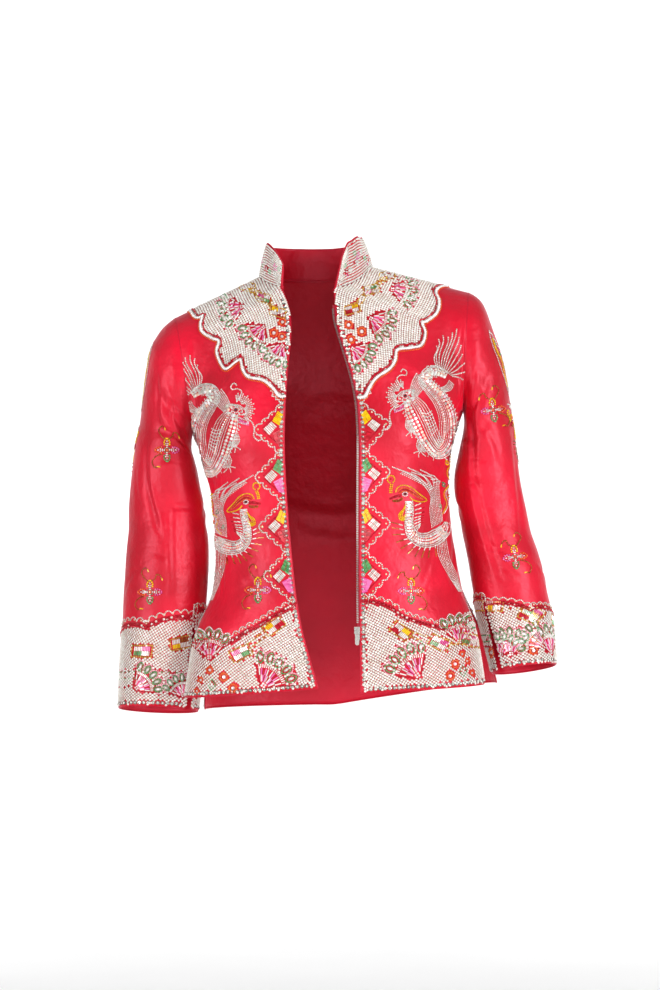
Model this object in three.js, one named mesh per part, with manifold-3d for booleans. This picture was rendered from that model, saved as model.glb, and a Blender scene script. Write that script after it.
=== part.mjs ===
// A short satin jacket with a stand collar, worn open, its sleeves hanging as arms hold them.
// Millimetres, +Z up, the wearer faces -Y and the wearer's left is +X.
// The origin is the middle of the neck, level with the shoulder seams.
import * as THREE from "three";
import Module from "manifold-3d";
import { mergeVertices } from "three/addons/utils/BufferGeometryUtils.js";

const wasm = await Module();
wasm.setup();

// Driving sizes of the cloth
const clothThick = 1.6;
const collarThick = 1.4;
const facingThick = 1;
const seamGap = 0.3;
const beadRise = 1;
const yokeRadius = 168;
const cuffHeight = 88;

// Rows of the body grid, counted up from the hem, and its columns
const slitRows = 6;
const armpitRow = 18;
const neckRow = 26;
const topRow = 32;
const hemBorderRows = 5;
const frontColumns = 16;
const backShoulderColumns = 7;
const backNeckColumns = 10;
const sleeveRows = 24;
const collarRows = 4;
const armpitShare = 0.64; // share of the front edge that lies below the armpit row
const armholeHollow = 3; // how far the armhole seam curves in at the chest and shoulder blade
const armholeEase = 1.3; // how fast the back's pull towards the armhole fades to the middle
const collarLift = 0.4; // gap between the neckline and the collar's base

// Zip sizes
const tapeWide = 11;
const tapeThick = 1;
const tapeProud = 3.5; // how far the toothed edge stands past the cloth
const tapeGap = 0.4;
const tapeLowRow = 3.5;
const tapeTopRow = 25;
const slider = { length: 9.2, inner: 3.1, outer: 4.5, thick: 5.2, slot: 1.7, slotDeep: 3.5 };
const sliderUp = 0.7; // rows of the body grid from the tape's foot to the slider
const crown = { wide: 1.2, reach: 3.4, rise: 3, bar: 1.1, middle: -0.7, root: 0.3 };
const box = { length: 8, inner: 3, outer: 3, thick: 3.2, gap: 0.5 };
const pull = { wide: 5.4, length: 19.5, thick: 0.9, slotWide: 2, slotLow: 5.2, bar: 0.55 };

const degree = Math.PI / 180;
const lerp = THREE.MathUtils.lerp;
const vector = (x, y, z) => new THREE.Vector3(x, y, z);
const mix = (a, b, t) => a.clone().lerp(b, t);

function table(names, rows) {
  return rows.map((row) => Object.fromEntries(names.map((name, k) => [name, row[k]])));
}

function curve(rows) {
  const points = rows.map((row) => vector(row.x, row.y, row.z));
  return new THREE.CatmullRomCurve3(points, false, "centripetal");
}

// The two sides of the garment: the front's open edge and neckline, the side seam with its
// slit below, the armhole and the neck point. "right" is the wearer's right.
const point = ["x", "y", "z"];
const sides = {
  right: {
    sign: -1,
    edge: curve(
      table(point, [
        [3, -121, -555],
        [-21, -119, -465],
        [-34, -115, -360],
        [-41, -124, -254],
        [-41, -129, -202],
        [-38, -118, -142],
        [-33, -97, -82],
        [-36, -80, -52],
        [-46, -62, -24],
      ]),
    ),
    neckline: curve(table(point, [[-46, -62, -24], [-63, -35, -17], [-74, -10, -9], [-76, 5, -7]])),
    frontSlit: curve(table(point, [[-174, -50, -570], [-165, -34, -510], [-156, -20, -475], [-140, 4, -437]])),
    backSlit: curve(table(point, [[-152, 46, -592], [-149, 32, -520], [-146, 20, -475], [-140, 4.4, -437]])),
    seam: curve(
      table(point, [
        [-140, 4.2, -437],
        [-134, 5, -395],
        [-136, 5, -345],
        [-146, 5, -280],
        [-166, 5, -215],
      ]),
    ),
    armhole: { outX: -190, outZ: -61, inX: -166, inZ: -215, deep: 56, y: 5, fall: 0 },
    neckPoint: vector(-76, 5, -7),
  },
  left: {
    sign: 1,
    edge: curve(
      table(point, [
        [60, -121, -561],
        [58.5, -119, -439],
        [58.5, -115, -360],
        [58.5, -122, -280],
        [58.5, -127, -225],
        [54.5, -121, -168],
        [39, -107, -109],
        [28, -90, -70],
        [25.5, -62, -27],
      ]),
    ),
    neckline: curve(table(point, [[25.5, -62, -27], [54, -36, -14], [72, -10, 3], [75.6, 5, 7]])),
    frontSlit: curve(table(point, [[225, -34, -553], [215, -22, -490], [207, -12, -460], [198, 4, -430]])),
    backSlit: curve(table(point, [[245, 34, -555], [228, 24, -500], [211, 12, -460], [198, 4.4, -430]])),
    seam: curve(
      table(point, [
        [198, 4.2, -430],
        [189, 5, -385],
        [183, 5, -345],
        [179, 5, -285],
        [183, 5, -235],
        [199, 5, -188],
      ]),
    ),
    armhole: { outX: 206, outZ: -27, inX: 199, inZ: -188, deep: 55, y: 5, fall: 0 },
    neckPoint: vector(75.6, 5, 7),
  },
};

// How round each front row runs from the open edge to the side: 1 is straight, 2 a quarter ellipse.
// "bust" is how far the cup of the dart stands forward.
const frontShape = table(
  ["row", "round", "bust"],
  [[0, 2.2, 0], [8, 2.2, 0], [13, 2.2, 3], [17, 2.1, 8], [21, 1.8, 5], [26, 1.4, 0], [32, 1.02, 0]],
);
const bustAcross = 0.42;
const bustSpread = 0.26;

const centreBack = curve(
  table(point, [
    [26, 138, -590],
    [26, 134, -500],
    [25, 110, -420],
    [24, 97, -345],
    [22, 104, -280],
    [19, 114, -202],
  ]),
);
const backNeck = vector(2, 62, -8);
const backRound = 2.15;
const bladeRise = 4; // how far the shoulder blades round the upper back
const bladePower = 2.2; // how late the upper back turns in to the neck and shoulders

// The sleeves, in rings from the armhole to the cuff: the outer and inner points seen from the
// front, half the depth, the middle of the depth, and how far the back hangs below the front.
const ring = ["outX", "outZ", "inX", "inZ", "deep", "y", "fall"];
const sleeveRings = {
  right: table(ring, [
    [-190, -61, -166, -215, 56, 5, 0],
    [-204, -72, -167.5, -224, 57, 5, 0],
    [-215, -86, -168, -231, 57, 6, 0],
    [-224, -104, -168, -240, 56, 6, 0],
    [-230, -140, -164, -254, 54, 7, 0],
    [-236, -185, -160, -270, 52, 8, 0],
    [-244, -232, -156, -292, 51, 8, 0],
    [-250, -285, -150, -320, 50, 9, 1],
    [-254, -340, -146, -352, 51, 10, 2],
    [-257, -385, -145, -390, 52, 10, 3],
    [-260, -430, -147, -431, 51, 10, 4],
    [-262, -480, -151, -480, 49, 10, 5],
    [-264, -535, -155, -537, 47, 9, 6],
    [-266, -588, -160, -592, 45, 8, 7],
  ]),
  left: table(ring, [
    [206, -27, 199, -188, 55, 5, 0],
    [217, -33, 200, -197, 56, 5, 0],
    [228, -47, 200, -206, 56, 5, 0],
    [240, -80, 198.5, -217, 55, 6, 0],
    [252, -115, 195, -233, 54, 6, 0],
    [262, -170, 191, -252, 53, 7, 0],
    [268, -212, 187, -275, 52, 8, 0],
    [276, -280, 188, -306, 50, 9, 1],
    [290, -342, 196, -345, 49, 9, 2],
    [303, -386, 205, -386, 49, 8, 3],
    [311, -424, 211, -424, 48, 6, 4],
    [317, -458, 218, -460, 46, 4, 5],
    [321, -495, 228, -500, 44, 1, 6],
    [323, -529, 238, -540, 42, -2, 7],
  ]),
};
const seamTurn = 40; // degrees that the sleeve seam comes round to the front at the cuff
const cuffSlitRows = 5;
const cuffSlitHalf = 5;

// The collar's rise and lean, along its base from the right tip round the back to the left tip
const collarShape = table(
  ["at", "rise", "x", "y"],
  [
    [0, 31, 2, 4],
    [0.05, 45, 0, 4],
    [0.12, 53, 0, 3],
    [0.25, 42, 9, 0],
    [0.5, 42, 0, -9],
    [0.75, 40, -14, 0],
    [0.88, 58, -2, 3],
    [0.95, 58, 6, 6],
    [1, 42, 10, 8],
  ],
);

const foldEnd = 0.35; // how deep a fold still is at its ends
const foldRim = 6; // how soon folds reach their depth inside a panel's rim

// The largest folds: shares across and up each panel, half width and depth in millimetres
const fold = ["s", "t", "toS", "toT", "wide", "deep"];
const folds = {
  front: table(fold, [
    [0.96, 0.55, 0.62, 0.44, 11, 4],
    [0.98, 0.4, 0.7, 0.3, 12, 3],
    [0.72, 0.84, 0.9, 0.66, 10, 2.5],
  ]),
  back: table(fold, [
    [0.05, 0.5, 0.3, 0.4, 13, 4],
    [0.95, 0.5, 0.7, 0.4, 13, 4],
    [0.3, 0.31, 0.7, 0.34, 14, 3],
  ]),
  sleeve: table(fold, [
    [0.1, 0.22, 0.3, 0.32, 11, 4],
    [0.12, 0.36, 0.4, 0.42, 11, 3.5],
    [0.02, 0.55, 0.3, 0.6, 12, 4],
    [0.1, 0.66, 0.42, 0.63, 12, 3],
    [0.7, 0.52, 0.95, 0.6, 12, 4],
    [0.66, 0.3, 0.9, 0.24, 12, 3],
  ]),
};

// Thick beaded creatures on the fronts, raised as low mounds: centre and half sizes from the front
const mounds = table(
  ["x", "z", "halfX", "halfZ"],
  [[-128, -205, 26, 62], [-122, -352, 24, 58], [148, -178, 30, 58], [142, -345, 26, 60]],
);
const moundRise = 1.5;

function between(rows, key, at, name) {
  const next = Math.max(1, rows.findIndex((row) => row[key] >= at));
  const [low, high] = [rows[next - 1], rows[next]];
  return lerp(low[name], high[name], THREE.MathUtils.smoothstep(at, low[key], high[key]));
}

function ringPoint(section, angle) {
  const c = Math.cos(angle * degree);
  const s = Math.sin(angle * degree);
  return vector(
    lerp(section.outX, section.inX, (1 + c) / 2),
    section.y - section.deep * s,
    lerp(section.outZ, section.inZ, (1 + c) / 2) + section.fall * s,
  );
}

// A point of the armhole seam, for a body row, on the front or the back
function armholePoint(side, row, facing) {
  const angle = ((row - armpitRow) / (topRow - armpitRow)) * 180;
  const place = ringPoint(side.armhole, facing * angle);
  place.x -= side.sign * armholeHollow * Math.sin(angle * degree);
  return place;
}

function edgePoint(side, row) {
  if (row >= neckRow) return side.neckline.getPointAt((row - neckRow) / (topRow - neckRow));
  if (row >= armpitRow) {
    return side.edge.getPointAt(lerp(armpitShare, 1, (row - armpitRow) / (neckRow - armpitRow)));
  }
  return side.edge.getPointAt((armpitShare * row) / armpitRow);
}

function sidePoint(side, row, facing) {
  if (row > armpitRow) return armholePoint(side, row, facing);
  const place =
    row < slitRows
      ? (facing > 0 ? side.frontSlit : side.backSlit).getPointAt(row / slitRows)
      : side.seam.getPointAt((row - slitRows) / (armpitRow - slitRows));
  return place.add(vector(0, -facing * seamGap * 0.5, 0));
}

function frontGrid(side) {
  const grid = [];
  for (let row = 0; row <= topRow; row++) {
    const edge = edgePoint(side, row);
    const end = sidePoint(side, row, 1);
    if (row === topRow) {
      edge.y -= seamGap / 2;
      end.y -= seamGap / 2;
    }
    const power = 2 / between(frontShape, "row", row, "round");
    const bust = between(frontShape, "row", row, "bust");
    grid.push(
      Array.from({ length: frontColumns + 1 }, (_, column) => {
        const share = column / frontColumns;
        const across = Math.sin((share * Math.PI) / 2) ** power;
        const back = 1 - Math.cos((share * Math.PI) / 2) ** power;
        const cup = bust * Math.exp(-(((share - bustAcross) / bustSpread) ** 2));
        return vector(
          lerp(edge.x, end.x, across),
          lerp(edge.y, end.y, column === frontColumns ? 1 : back) - cup,
          lerp(edge.z, end.z, across),
        );
      }),
    );
  }
  return grid;
}

// The back's top line: shoulder seam, back of the neck, shoulder seam
function backTop(share) {
  const neckShare = backNeckColumns / (backNeckColumns + 2 * backShoulderColumns);
  const side = share < 0 ? sides.right : sides.left;
  const reach = Math.abs(share);
  if (reach >= neckShare) {
    const shoulder = armholePoint(side, topRow, -1);
    return mix(side.neckPoint, shoulder, (reach - neckShare) / (1 - neckShare));
  }
  const angle = ((reach / neckShare) * Math.PI) / 2;
  const place = mix(backNeck, side.neckPoint, Math.sin(angle));
  place.y = lerp(side.neckPoint.y, backNeck.y, Math.cos(angle));
  place.z = lerp(side.neckPoint.z, backNeck.z, Math.cos(angle));
  return place;
}

function backRing(row, share) {
  const side = share < 0 ? sides.right : sides.left;
  const end = sidePoint(side, Math.min(row, armpitRow), -1);
  const middle = centreBack.getPointAt(Math.min(row, armpitRow) / armpitRow);
  const angle = (Math.abs(share) * Math.PI) / 2;
  const across = Math.sin(angle) ** (2 / backRound);
  const deep = Math.abs(share) === 1 ? 0 : Math.cos(angle) ** (2 / backRound);
  return vector(
    lerp(middle.x, end.x, across),
    lerp(end.y, middle.y, deep),
    lerp(middle.z, end.z, across),
  );
}

function backGrid() {
  const columns = backNeckColumns + 2 * backShoulderColumns;
  const grid = [];
  for (let row = 0; row <= topRow; row++) {
    const up = Math.max(0, row - armpitRow) / (topRow - armpitRow);
    grid.push(
      Array.from({ length: columns + 1 }, (_, column) => {
        const share = (2 * column) / columns - 1;
        if (up === 0) return backRing(row, share);
        const side = share < 0 ? sides.right : sides.left;
        const shoulder = armholePoint(side, topRow, -1);
        const seam = armholePoint(side, row, -1).sub(mix(sidePoint(side, armpitRow, -1), shoulder, up));
        const [low, high] = [backRing(armpitRow, share), backTop(share)];
        const place = mix(low, high, up);
        place.y = lerp(low.y, high.y, up ** bladePower);
        place.addScaledVector(seam, Math.abs(share) ** armholeEase);
        place.y += bladeRise * Math.sin(up * Math.PI) * Math.cos((share * Math.PI) / 2);
        if (row === topRow) place.y += seamGap / 2;
        return place;
      }),
    );
  }
  return grid;
}

function sleeveSection(rows, at) {
  const index = Math.min(Math.floor(at), rows.length - 2);
  const pick = (k) => rows[THREE.MathUtils.clamp(k, 0, rows.length - 1)];
  const section = {};
  for (const name of ring) {
    const values = [-1, 0, 1, 2].map((k) => pick(index + k)[name]);
    const u = at - index;
    const slopeIn = (values[2] - values[0]) / 2;
    const slopeOut = (values[3] - values[1]) / 2;
    const rise = values[2] - values[1];
    section[name] =
      values[1] +
      slopeIn * u +
      (3 * rise - 2 * slopeIn - slopeOut) * u ** 2 +
      (slopeIn + slopeOut - 2 * rise) * u ** 3;
  }
  return section;
}

function sleeveGrid(side, rings) {
  const columns = 2 * (topRow - armpitRow);
  const grid = [];
  for (let row = 0; row <= sleeveRows; row++) {
    const section = sleeveSection(rings, (row / sleeveRows) * (rings.length - 1));
    const radius = (section.deep + Math.abs(section.outX - section.inX) / 2) / 2;
    const slit = Math.max(0, row - (sleeveRows - cuffSlitRows)) / cuffSlitRows;
    const half = seamGap + cuffSlitHalf * slit;
    const turn = seamTurn * THREE.MathUtils.smoothstep(row / sleeveRows, 0, 0.6);
    grid.push(
      Array.from({ length: columns + 1 }, (_, column) => {
        const opening = column === 0 ? half : column === columns ? -half : 0;
        const angle = (column / columns) * 360 + turn + opening / radius / degree;
        const place = ringPoint(section, angle);
        if (row === 0) {
          place.x -= side.sign * armholeHollow * Math.abs(Math.sin(angle * degree));
          place.x += side.sign * seamGap;
        }
        return place;
      }),
    );
  }
  return grid;
}

function collarGrid(frontRight, back, frontLeft) {
  const base = [];
  for (let row = neckRow; row <= topRow; row++) base.push(frontRight[row][0]);
  for (let k = 1; k < backNeckColumns; k++) base.push(back[topRow][backShoulderColumns + k]);
  for (let row = topRow; row >= neckRow; row--) base.push(frontLeft[row][0]);
  const lift = vector(0, 0, collarLift);
  return Array.from({ length: collarRows + 1 }, (_, row) =>
    base.map((place, k) => {
      const at = k / (base.length - 1);
      const up = row / collarRows;
      const lean = (name) => between(collarShape, "at", at, name) * up;
      return place.clone().add(lift).add(vector(lean("x"), lean("y"), lean("rise")));
    }),
  );
}

// Normals of a grid, facing away from the point inside
function gridNormals(grid, inside, closed) {
  const last = grid.length - 1;
  const end = grid[0].length - 1;
  const normals = grid.map((line, row) =>
    line.map((_, column) => {
      const wrap = closed && (column === 0 || column === end);
      const before = wrap ? end - 1 : Math.max(column - 1, 0);
      const after = wrap ? 1 : Math.min(column + 1, end);
      const along = line[after].clone().sub(line[before]);
      const up = grid[Math.min(row + 1, last)][column].clone().sub(grid[Math.max(row - 1, 0)][column]);
      return along.cross(up).normalize();
    }),
  );
  let sum = 0;
  grid.forEach((line, row) =>
    line.forEach((place, column) => {
      sum += normals[row][column].dot(place.clone().sub(inside));
    }),
  );
  const facing = Math.sign(sum);
  normals.forEach((line) => line.forEach((normal) => normal.multiplyScalar(facing)));
  return { normals, facing };
}

function foldDepth(list, s, t, wide, long) {
  let depth = 0;
  for (const f of list) {
    const way = new THREE.Vector2((f.toS - f.s) * wide, (f.toT - f.t) * long);
    const here = new THREE.Vector2((s - f.s) * wide, (t - f.t) * long);
    const share = THREE.MathUtils.clamp(here.dot(way) / way.lengthSq(), 0, 1);
    const away = here.distanceTo(way.multiplyScalar(share)) / f.wide;
    depth += f.deep * Math.exp(-away * away) * (foldEnd + (1 - foldEnd) * Math.sin(share * Math.PI));
  }
  return depth;
}

// Presses the folds into a grid
function creased(grid, normals, list) {
  const rows = grid.length - 1;
  const columns = grid[0].length - 1;
  const wide = grid[rows >> 1].reduce((sum, place, k, line) => sum + (k ? place.distanceTo(line[k - 1]) : 0), 0);
  const long = grid.reduce((sum, line, k) => sum + (k ? line[0].distanceTo(grid[k - 1][0]) : 0), 0);
  return grid.map((line, row) =>
    line.map((place, column) => {
      const [s, t] = [column / columns, row / rows];
      const rim = Math.min(1, foldRim * Math.min(s, 1 - s, t, 1 - t));
      const depth = foldDepth(list, s, t, wide, long) * rim;
      return place.clone().addScaledVector(normals[row][column], -depth);
    }),
  );
}

// A closed wall of cloth: a plain inner skin, an outer skin that "raised" may lift, and its rims
function clothWall(grid, { normals, facing }, thick, raised = () => 0) {
  const rows = grid.length;
  const columns = grid[0].length;
  const positions = [];
  const put = (place) => positions.push(place.x, place.y, place.z);
  grid.forEach((line, row) =>
    line.forEach((place, column) => {
      put(place.clone().addScaledVector(normals[row][column], raised(place, row, column)));
    }),
  );
  grid.forEach((line, row) =>
    line.forEach((place, column) => put(place.clone().addScaledVector(normals[row][column], -thick))),
  );
  const outer = (row, column) => row * columns + column;
  const inner = (index) => index + rows * columns;
  const faces = [];
  const quad = (a, b, c, d) => faces.push([a, b, c], [a, c, d]);
  for (let row = 0; row + 1 < rows; row++) {
    for (let column = 0; column + 1 < columns; column++) {
      const corners = [
        outer(row, column),
        outer(row, column + 1),
        outer(row + 1, column + 1),
        outer(row + 1, column),
      ];
      const [a, b, c, d] = corners.map(inner);
      quad(...corners);
      faces.push([a, c, b], [a, d, c]);
    }
  }
  const loop = [];
  for (let column = 0; column + 1 < columns; column++) loop.push(outer(0, column));
  for (let row = 0; row + 1 < rows; row++) loop.push(outer(row, columns - 1));
  for (let column = columns - 1; column > 0; column--) loop.push(outer(rows - 1, column));
  for (let row = rows - 1; row > 0; row--) loop.push(outer(row, 0));
  loop.forEach((a, k) => {
    const b = loop[(k + 1) % loop.length];
    quad(b, a, inner(a), inner(b));
  });
  const geometry = new THREE.BufferGeometry();
  geometry.setAttribute("position", new THREE.Float32BufferAttribute(positions, 3));
  geometry.setIndex(faces.flatMap(([a, b, c]) => (facing > 0 ? [a, b, c] : [a, c, b])));
  return geometry;
}

function mesh(name, geometry, look) {
  const made = new THREE.Mesh(geometry, new THREE.MeshStandardMaterial(look));
  made.name = name;
  return made;
}

const satin = { color: "#e0213f", roughness: 0.32, metalness: 0 };
const beaded = { color: "#ece4df", roughness: 0.4, metalness: 0 };
const lining = { color: "#c01028", roughness: 0.4, metalness: 0 };
const tapeCloth = { color: "#b5a3a3", roughness: 0.7, metalness: 0 };
const zipMetal = { color: "#9a9a98", roughness: 0.35, metalness: 1 };

function raisedOnBody(place, row, column) {
  if (column === 0 || row === topRow) return 0;
  if (row < hemBorderRows) return beadRise;
  if (Math.hypot(place.x, place.z) < yokeRadius) return beadRise;
  const onMound = (m) => Math.hypot((place.x - m.x) / m.halfX, (place.z - m.z) / m.halfZ) < 1;
  return place.y < 0 && mounds.some(onMound) ? moundRise : 0;
}

const bodyInside = vector(20, 0, -300);

function frontPanel(side) {
  const grid = frontGrid(side);
  const way = gridNormals(grid, bodyInside, false);
  // Along the shoulder both cloths face straight up, so that their rims lie side by side
  way.normals[topRow].forEach((normal) => normal.setY(0).normalize());
  return { grid: creased(grid, way.normals, folds.front), way };
}

function backPanel() {
  const grid = backGrid();
  const way = gridNormals(grid, bodyInside, false);
  way.normals[topRow].forEach((normal, column) => {
    const onNeck = Math.abs(column - (grid[0].length - 1) / 2) < backNeckColumns / 2;
    if (!onNeck) normal.setY(0).normalize();
  });
  return { grid: creased(grid, way.normals, folds.back), way };
}

function sleeve(name, side, rings) {
  const grid = sleeveGrid(side, rings);
  const inside = vector((rings[7].outX + rings[7].inX) / 2, rings[7].y, rings[7].outZ);
  const way = gridNormals(grid, inside, true);
  const cuff = (place, row) => {
    const section = sleeveSection(rings, rings.length - 1);
    return row > 0 && Math.abs(place.z - (section.outZ + section.inZ) / 2) < cuffHeight ? beadRise : 0;
  };
  // Round the top of the armhole the rim stands straight off the seam, clear of the body's rim
  way.normals[0].forEach((normal, column) => {
    normal.x *= (1 + Math.cos((column / (grid[0].length - 1)) * 2 * Math.PI)) / 2;
    normal.normalize();
  });
  const pressed = creased(grid, way.normals, folds.sleeve);
  return mesh(name, clothWall(pressed, way, clothThick, cuff), satin);
}

function collar(fronts, back) {
  const grid = collarGrid(fronts.right.grid, back.grid, fronts.left.grid);
  const way = gridNormals(grid, vector(0, 0, 10), false);
  const behind = grid.map((line, row) =>
    line.map((place, k) => place.clone().addScaledVector(way.normals[row][k], -collarThick - seamGap)),
  );
  const top = grid.length - 1;
  const raised = (place, row, k) => (row > 0 && row < top && k > 0 && k < grid[0].length - 1 ? beadRise : 0);
  return [
    mesh("collar", clothWall(grid, way, collarThick, raised), beaded),
    mesh("collar_facing", clothWall(behind, way, facingThick), lining),
  ];
}

// The front's open edge at a row, with the direction into the cloth and the way it faces
function edgeFrame(panel, row) {
  const low = Math.min(Math.floor(row), topRow - 1);
  const share = row - low;
  const take = (get) => mix(get(low), get(low + 1), share);
  const place = take((k) => panel.grid[k][0]);
  const into = take((k) => panel.grid[k][1]).sub(place).normalize();
  const out = take((k) => panel.way.normals[k][0]).normalize();
  return { place, into, out };
}

function zipTape(name, panel, proud) {
  const rows = [tapeLowRow];
  for (let row = Math.ceil(tapeLowRow); row <= tapeTopRow; row++) rows.push(row);
  const frames = rows.map((row) => edgeFrame(panel, row));
  const behind = -clothThick - tapeGap;
  const grid = frames.map(({ place, into, out }) =>
    [-proud, tapeWide].map((across) =>
      place.clone().addScaledVector(into, across).addScaledVector(out, behind),
    ),
  );
  const normals = frames.map(({ out }) => [out, out]);
  const across = grid[0][1].clone().sub(grid[0][0]);
  const facing = Math.sign(across.cross(grid[1][0].clone().sub(grid[0][0])).dot(normals[0][0]));
  return mesh(name, clothWall(grid, { normals, facing }, tapeThick), tapeCloth);
}

function solid(geometry) {
  geometry.deleteAttribute("normal");
  geometry.deleteAttribute("uv");
  const merged = mergeVertices(geometry, 1e-4);
  return new wasm.Manifold(
    new wasm.Mesh({
      numProp: 3,
      vertProperties: merged.attributes.position.array,
      triVerts: new Uint32Array(merged.index.array),
    }),
  );
}

function geometryOf(shape) {
  const made = shape.getMesh();
  const geometry = new THREE.BufferGeometry();
  geometry.setAttribute("position", new THREE.BufferAttribute(made.vertProperties, 3));
  geometry.setIndex(new THREE.BufferAttribute(made.triVerts, 1));
  return geometry;
}

function block(x0, x1, y0, y1, z0, z1) {
  const shape = new THREE.BoxGeometry(x1 - x0, y1 - y0, z1 - z0);
  return solid(shape.translate((x0 + x1) / 2, (y0 + y1) / 2, (z0 + z1) / 2));
}

// A clip round the tape's toothed edge; x runs into the cloth and -y faces forward
function clip(size, length) {
  const body = block(-size.outer, size.inner, -size.thick / 2, size.thick / 2, -length / 2, length / 2);
  const slotStart = size.inner - slider.slotDeep;
  return body.subtract(
    block(slotStart, size.inner + 1, -slider.slot / 2, slider.slot / 2, -length, length),
  );
}

// The arch on the slider's face that the pull tab hangs from
function crownArch() {
  const face = -slider.thick / 2;
  const [left, right] = [crown.middle - crown.wide / 2, crown.middle + crown.wide / 2];
  const arch = block(left, right, face - crown.rise, face + crown.root, -crown.reach, crown.reach);
  const under = crown.reach - crown.bar;
  return arch.subtract(block(left - 1, right + 1, face - crown.rise + crown.bar, face, -under, under));
}

function pullTab() {
  const half = pull.wide / 2;
  const slot = pull.slotWide / 2;
  const y = pull.thick / 2;
  const plate = new THREE.Shape();
  plate.moveTo(-half, pull.bar);
  plate.lineTo(-half, -pull.length + half);
  plate.absarc(0, -pull.length + half, half, Math.PI, 2 * Math.PI, false);
  plate.lineTo(half, pull.bar);
  const eye = new THREE.Path();
  eye.moveTo(-slot, -pull.bar);
  eye.lineTo(slot, -pull.bar);
  eye.lineTo(slot, -pull.slotLow);
  eye.lineTo(-slot, -pull.slotLow);
  plate.holes.push(eye);
  const shape = new THREE.ExtrudeGeometry(plate, { depth: pull.thick, bevelEnabled: false, curveSegments: 8 });
  return shape.translate(0, 0, -y).rotateX(Math.PI / 2);
}

function zipEnd(panel) {
  const sliderRow = tapeLowRow + sliderUp;
  const low = edgeFrame(panel, tapeLowRow);
  const high = edgeFrame(panel, sliderRow + 1);
  const rise = high.place.clone().sub(low.place);
  const middle = edgeFrame(panel, sliderRow);
  const holder = new THREE.Group();
  holder.position
    .copy(middle.place)
    .addScaledVector(middle.into, -tapeProud)
    .addScaledVector(middle.out, -clothThick - tapeGap - tapeThick / 2);
  holder.rotation.x = Math.atan2(-rise.y, rise.z);
  const runner = clip(slider, slider.length).add(crownArch());
  holder.add(mesh("zip_slider", geometryOf(runner), zipMetal));
  const catchBox = mesh("zip_box", geometryOf(clip(box, box.length)), zipMetal);
  catchBox.position.z = -slider.length / 2 - box.length / 2 - box.gap;
  holder.add(catchBox);
  const tab = mesh("zip_pull", pullTab(), zipMetal);
  const under = slider.thick / 2 + (crown.rise - crown.bar) / 2;
  tab.position.set(crown.middle, -under, 0);
  holder.add(tab);
  return holder;
}

const fronts = { right: frontPanel(sides.right), left: frontPanel(sides.left) };
const back = backPanel();

const jacket = new THREE.Group();
jacket.add(
  mesh("front_right", clothWall(fronts.right.grid, fronts.right.way, clothThick, raisedOnBody), satin),
  mesh("front_left", clothWall(fronts.left.grid, fronts.left.way, clothThick, raisedOnBody), satin),
  mesh("back", clothWall(back.grid, back.way, clothThick, raisedOnBody), satin),
  sleeve("sleeve_right", sides.right, sleeveRings.right),
  sleeve("sleeve_left", sides.left, sleeveRings.left),
  ...collar(fronts, back),
  zipTape("zip_tape_right", fronts.right, -1),
  zipTape("zip_tape_left", fronts.left, tapeProud),
  zipEnd(fronts.left),
);

export default jacket;
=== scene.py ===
import math

import bmesh
import bpy
import numpy as np
from mathutils import Matrix, Vector
from mathutils.bvhtree import BVHTree


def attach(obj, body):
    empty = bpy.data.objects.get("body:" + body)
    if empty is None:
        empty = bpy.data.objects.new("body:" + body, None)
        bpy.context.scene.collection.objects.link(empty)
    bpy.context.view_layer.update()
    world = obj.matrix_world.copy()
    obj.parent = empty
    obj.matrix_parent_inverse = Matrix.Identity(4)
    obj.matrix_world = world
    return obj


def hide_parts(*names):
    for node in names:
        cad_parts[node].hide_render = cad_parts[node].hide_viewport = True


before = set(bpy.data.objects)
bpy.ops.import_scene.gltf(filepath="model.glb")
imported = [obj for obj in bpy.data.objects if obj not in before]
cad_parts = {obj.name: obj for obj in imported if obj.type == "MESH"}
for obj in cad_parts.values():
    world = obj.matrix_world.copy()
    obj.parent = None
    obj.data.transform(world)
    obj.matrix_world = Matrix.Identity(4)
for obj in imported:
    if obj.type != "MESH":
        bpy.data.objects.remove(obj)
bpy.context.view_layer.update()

# A beaded satin jacket with a stand collar, worn open. The cloth follows the CAD panels. Each
# bead is sewn at a share across a panel, "s", and a share up it, "t".
mm = 0.001
dice = np.random.default_rng(11)


def report(stage):
    print("stage:", stage)


def addObject(name, data):
    made = bpy.data.objects.new(name, data)
    bpy.context.scene.collection.objects.link(made)
    return made


def meshFrom(bm, name):
    mesh = bpy.data.meshes.new(name)
    bm.to_mesh(mesh)
    bm.free()
    return mesh


# Camera and studio

cameraSet = {"place": (0.0189, -5.0, -0.3004), "lens": 134.7, "film": 36.0, "wide": 660, "high": 990}


def makeCamera():
    data = bpy.data.cameras.new("camera")
    data.sensor_fit = "VERTICAL"
    data.sensor_height = cameraSet["film"]
    data.lens = cameraSet["lens"]
    seen = addObject("camera", data)
    seen.location = cameraSet["place"]
    seen.rotation_euler = (math.radians(90), 0, 0)
    bpy.context.scene.camera = seen


def photoRay(x, y):
    scale = cameraSet["film"] / cameraSet["lens"] / cameraSet["high"]
    way = Vector(((x - cameraSet["wide"] / 2) * scale, 1, (cameraSet["high"] / 2 - y) * scale))
    return Vector(cameraSet["place"]), way.normalized()


makeCamera()


# Node trees

def linear(hexColour):
    parts = [int(hexColour[k:k + 2], 16) / 255 for k in (1, 3, 5)]
    return (*[c / 12.92 if c <= 0.04045 else ((c + 0.055) / 1.055) ** 2.4 for c in parts], 1)


def addNode(tree, kind, settings=None, links=None):
    node = tree.nodes.new(kind)
    for name, value in (settings or {}).items():
        if name in node.inputs:
            node.inputs[name].default_value = value
        else:
            setattr(node, name, value)
    for name, source in (links or {}).items():
        tree.links.new(source, node.inputs[name])
    return node


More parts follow.
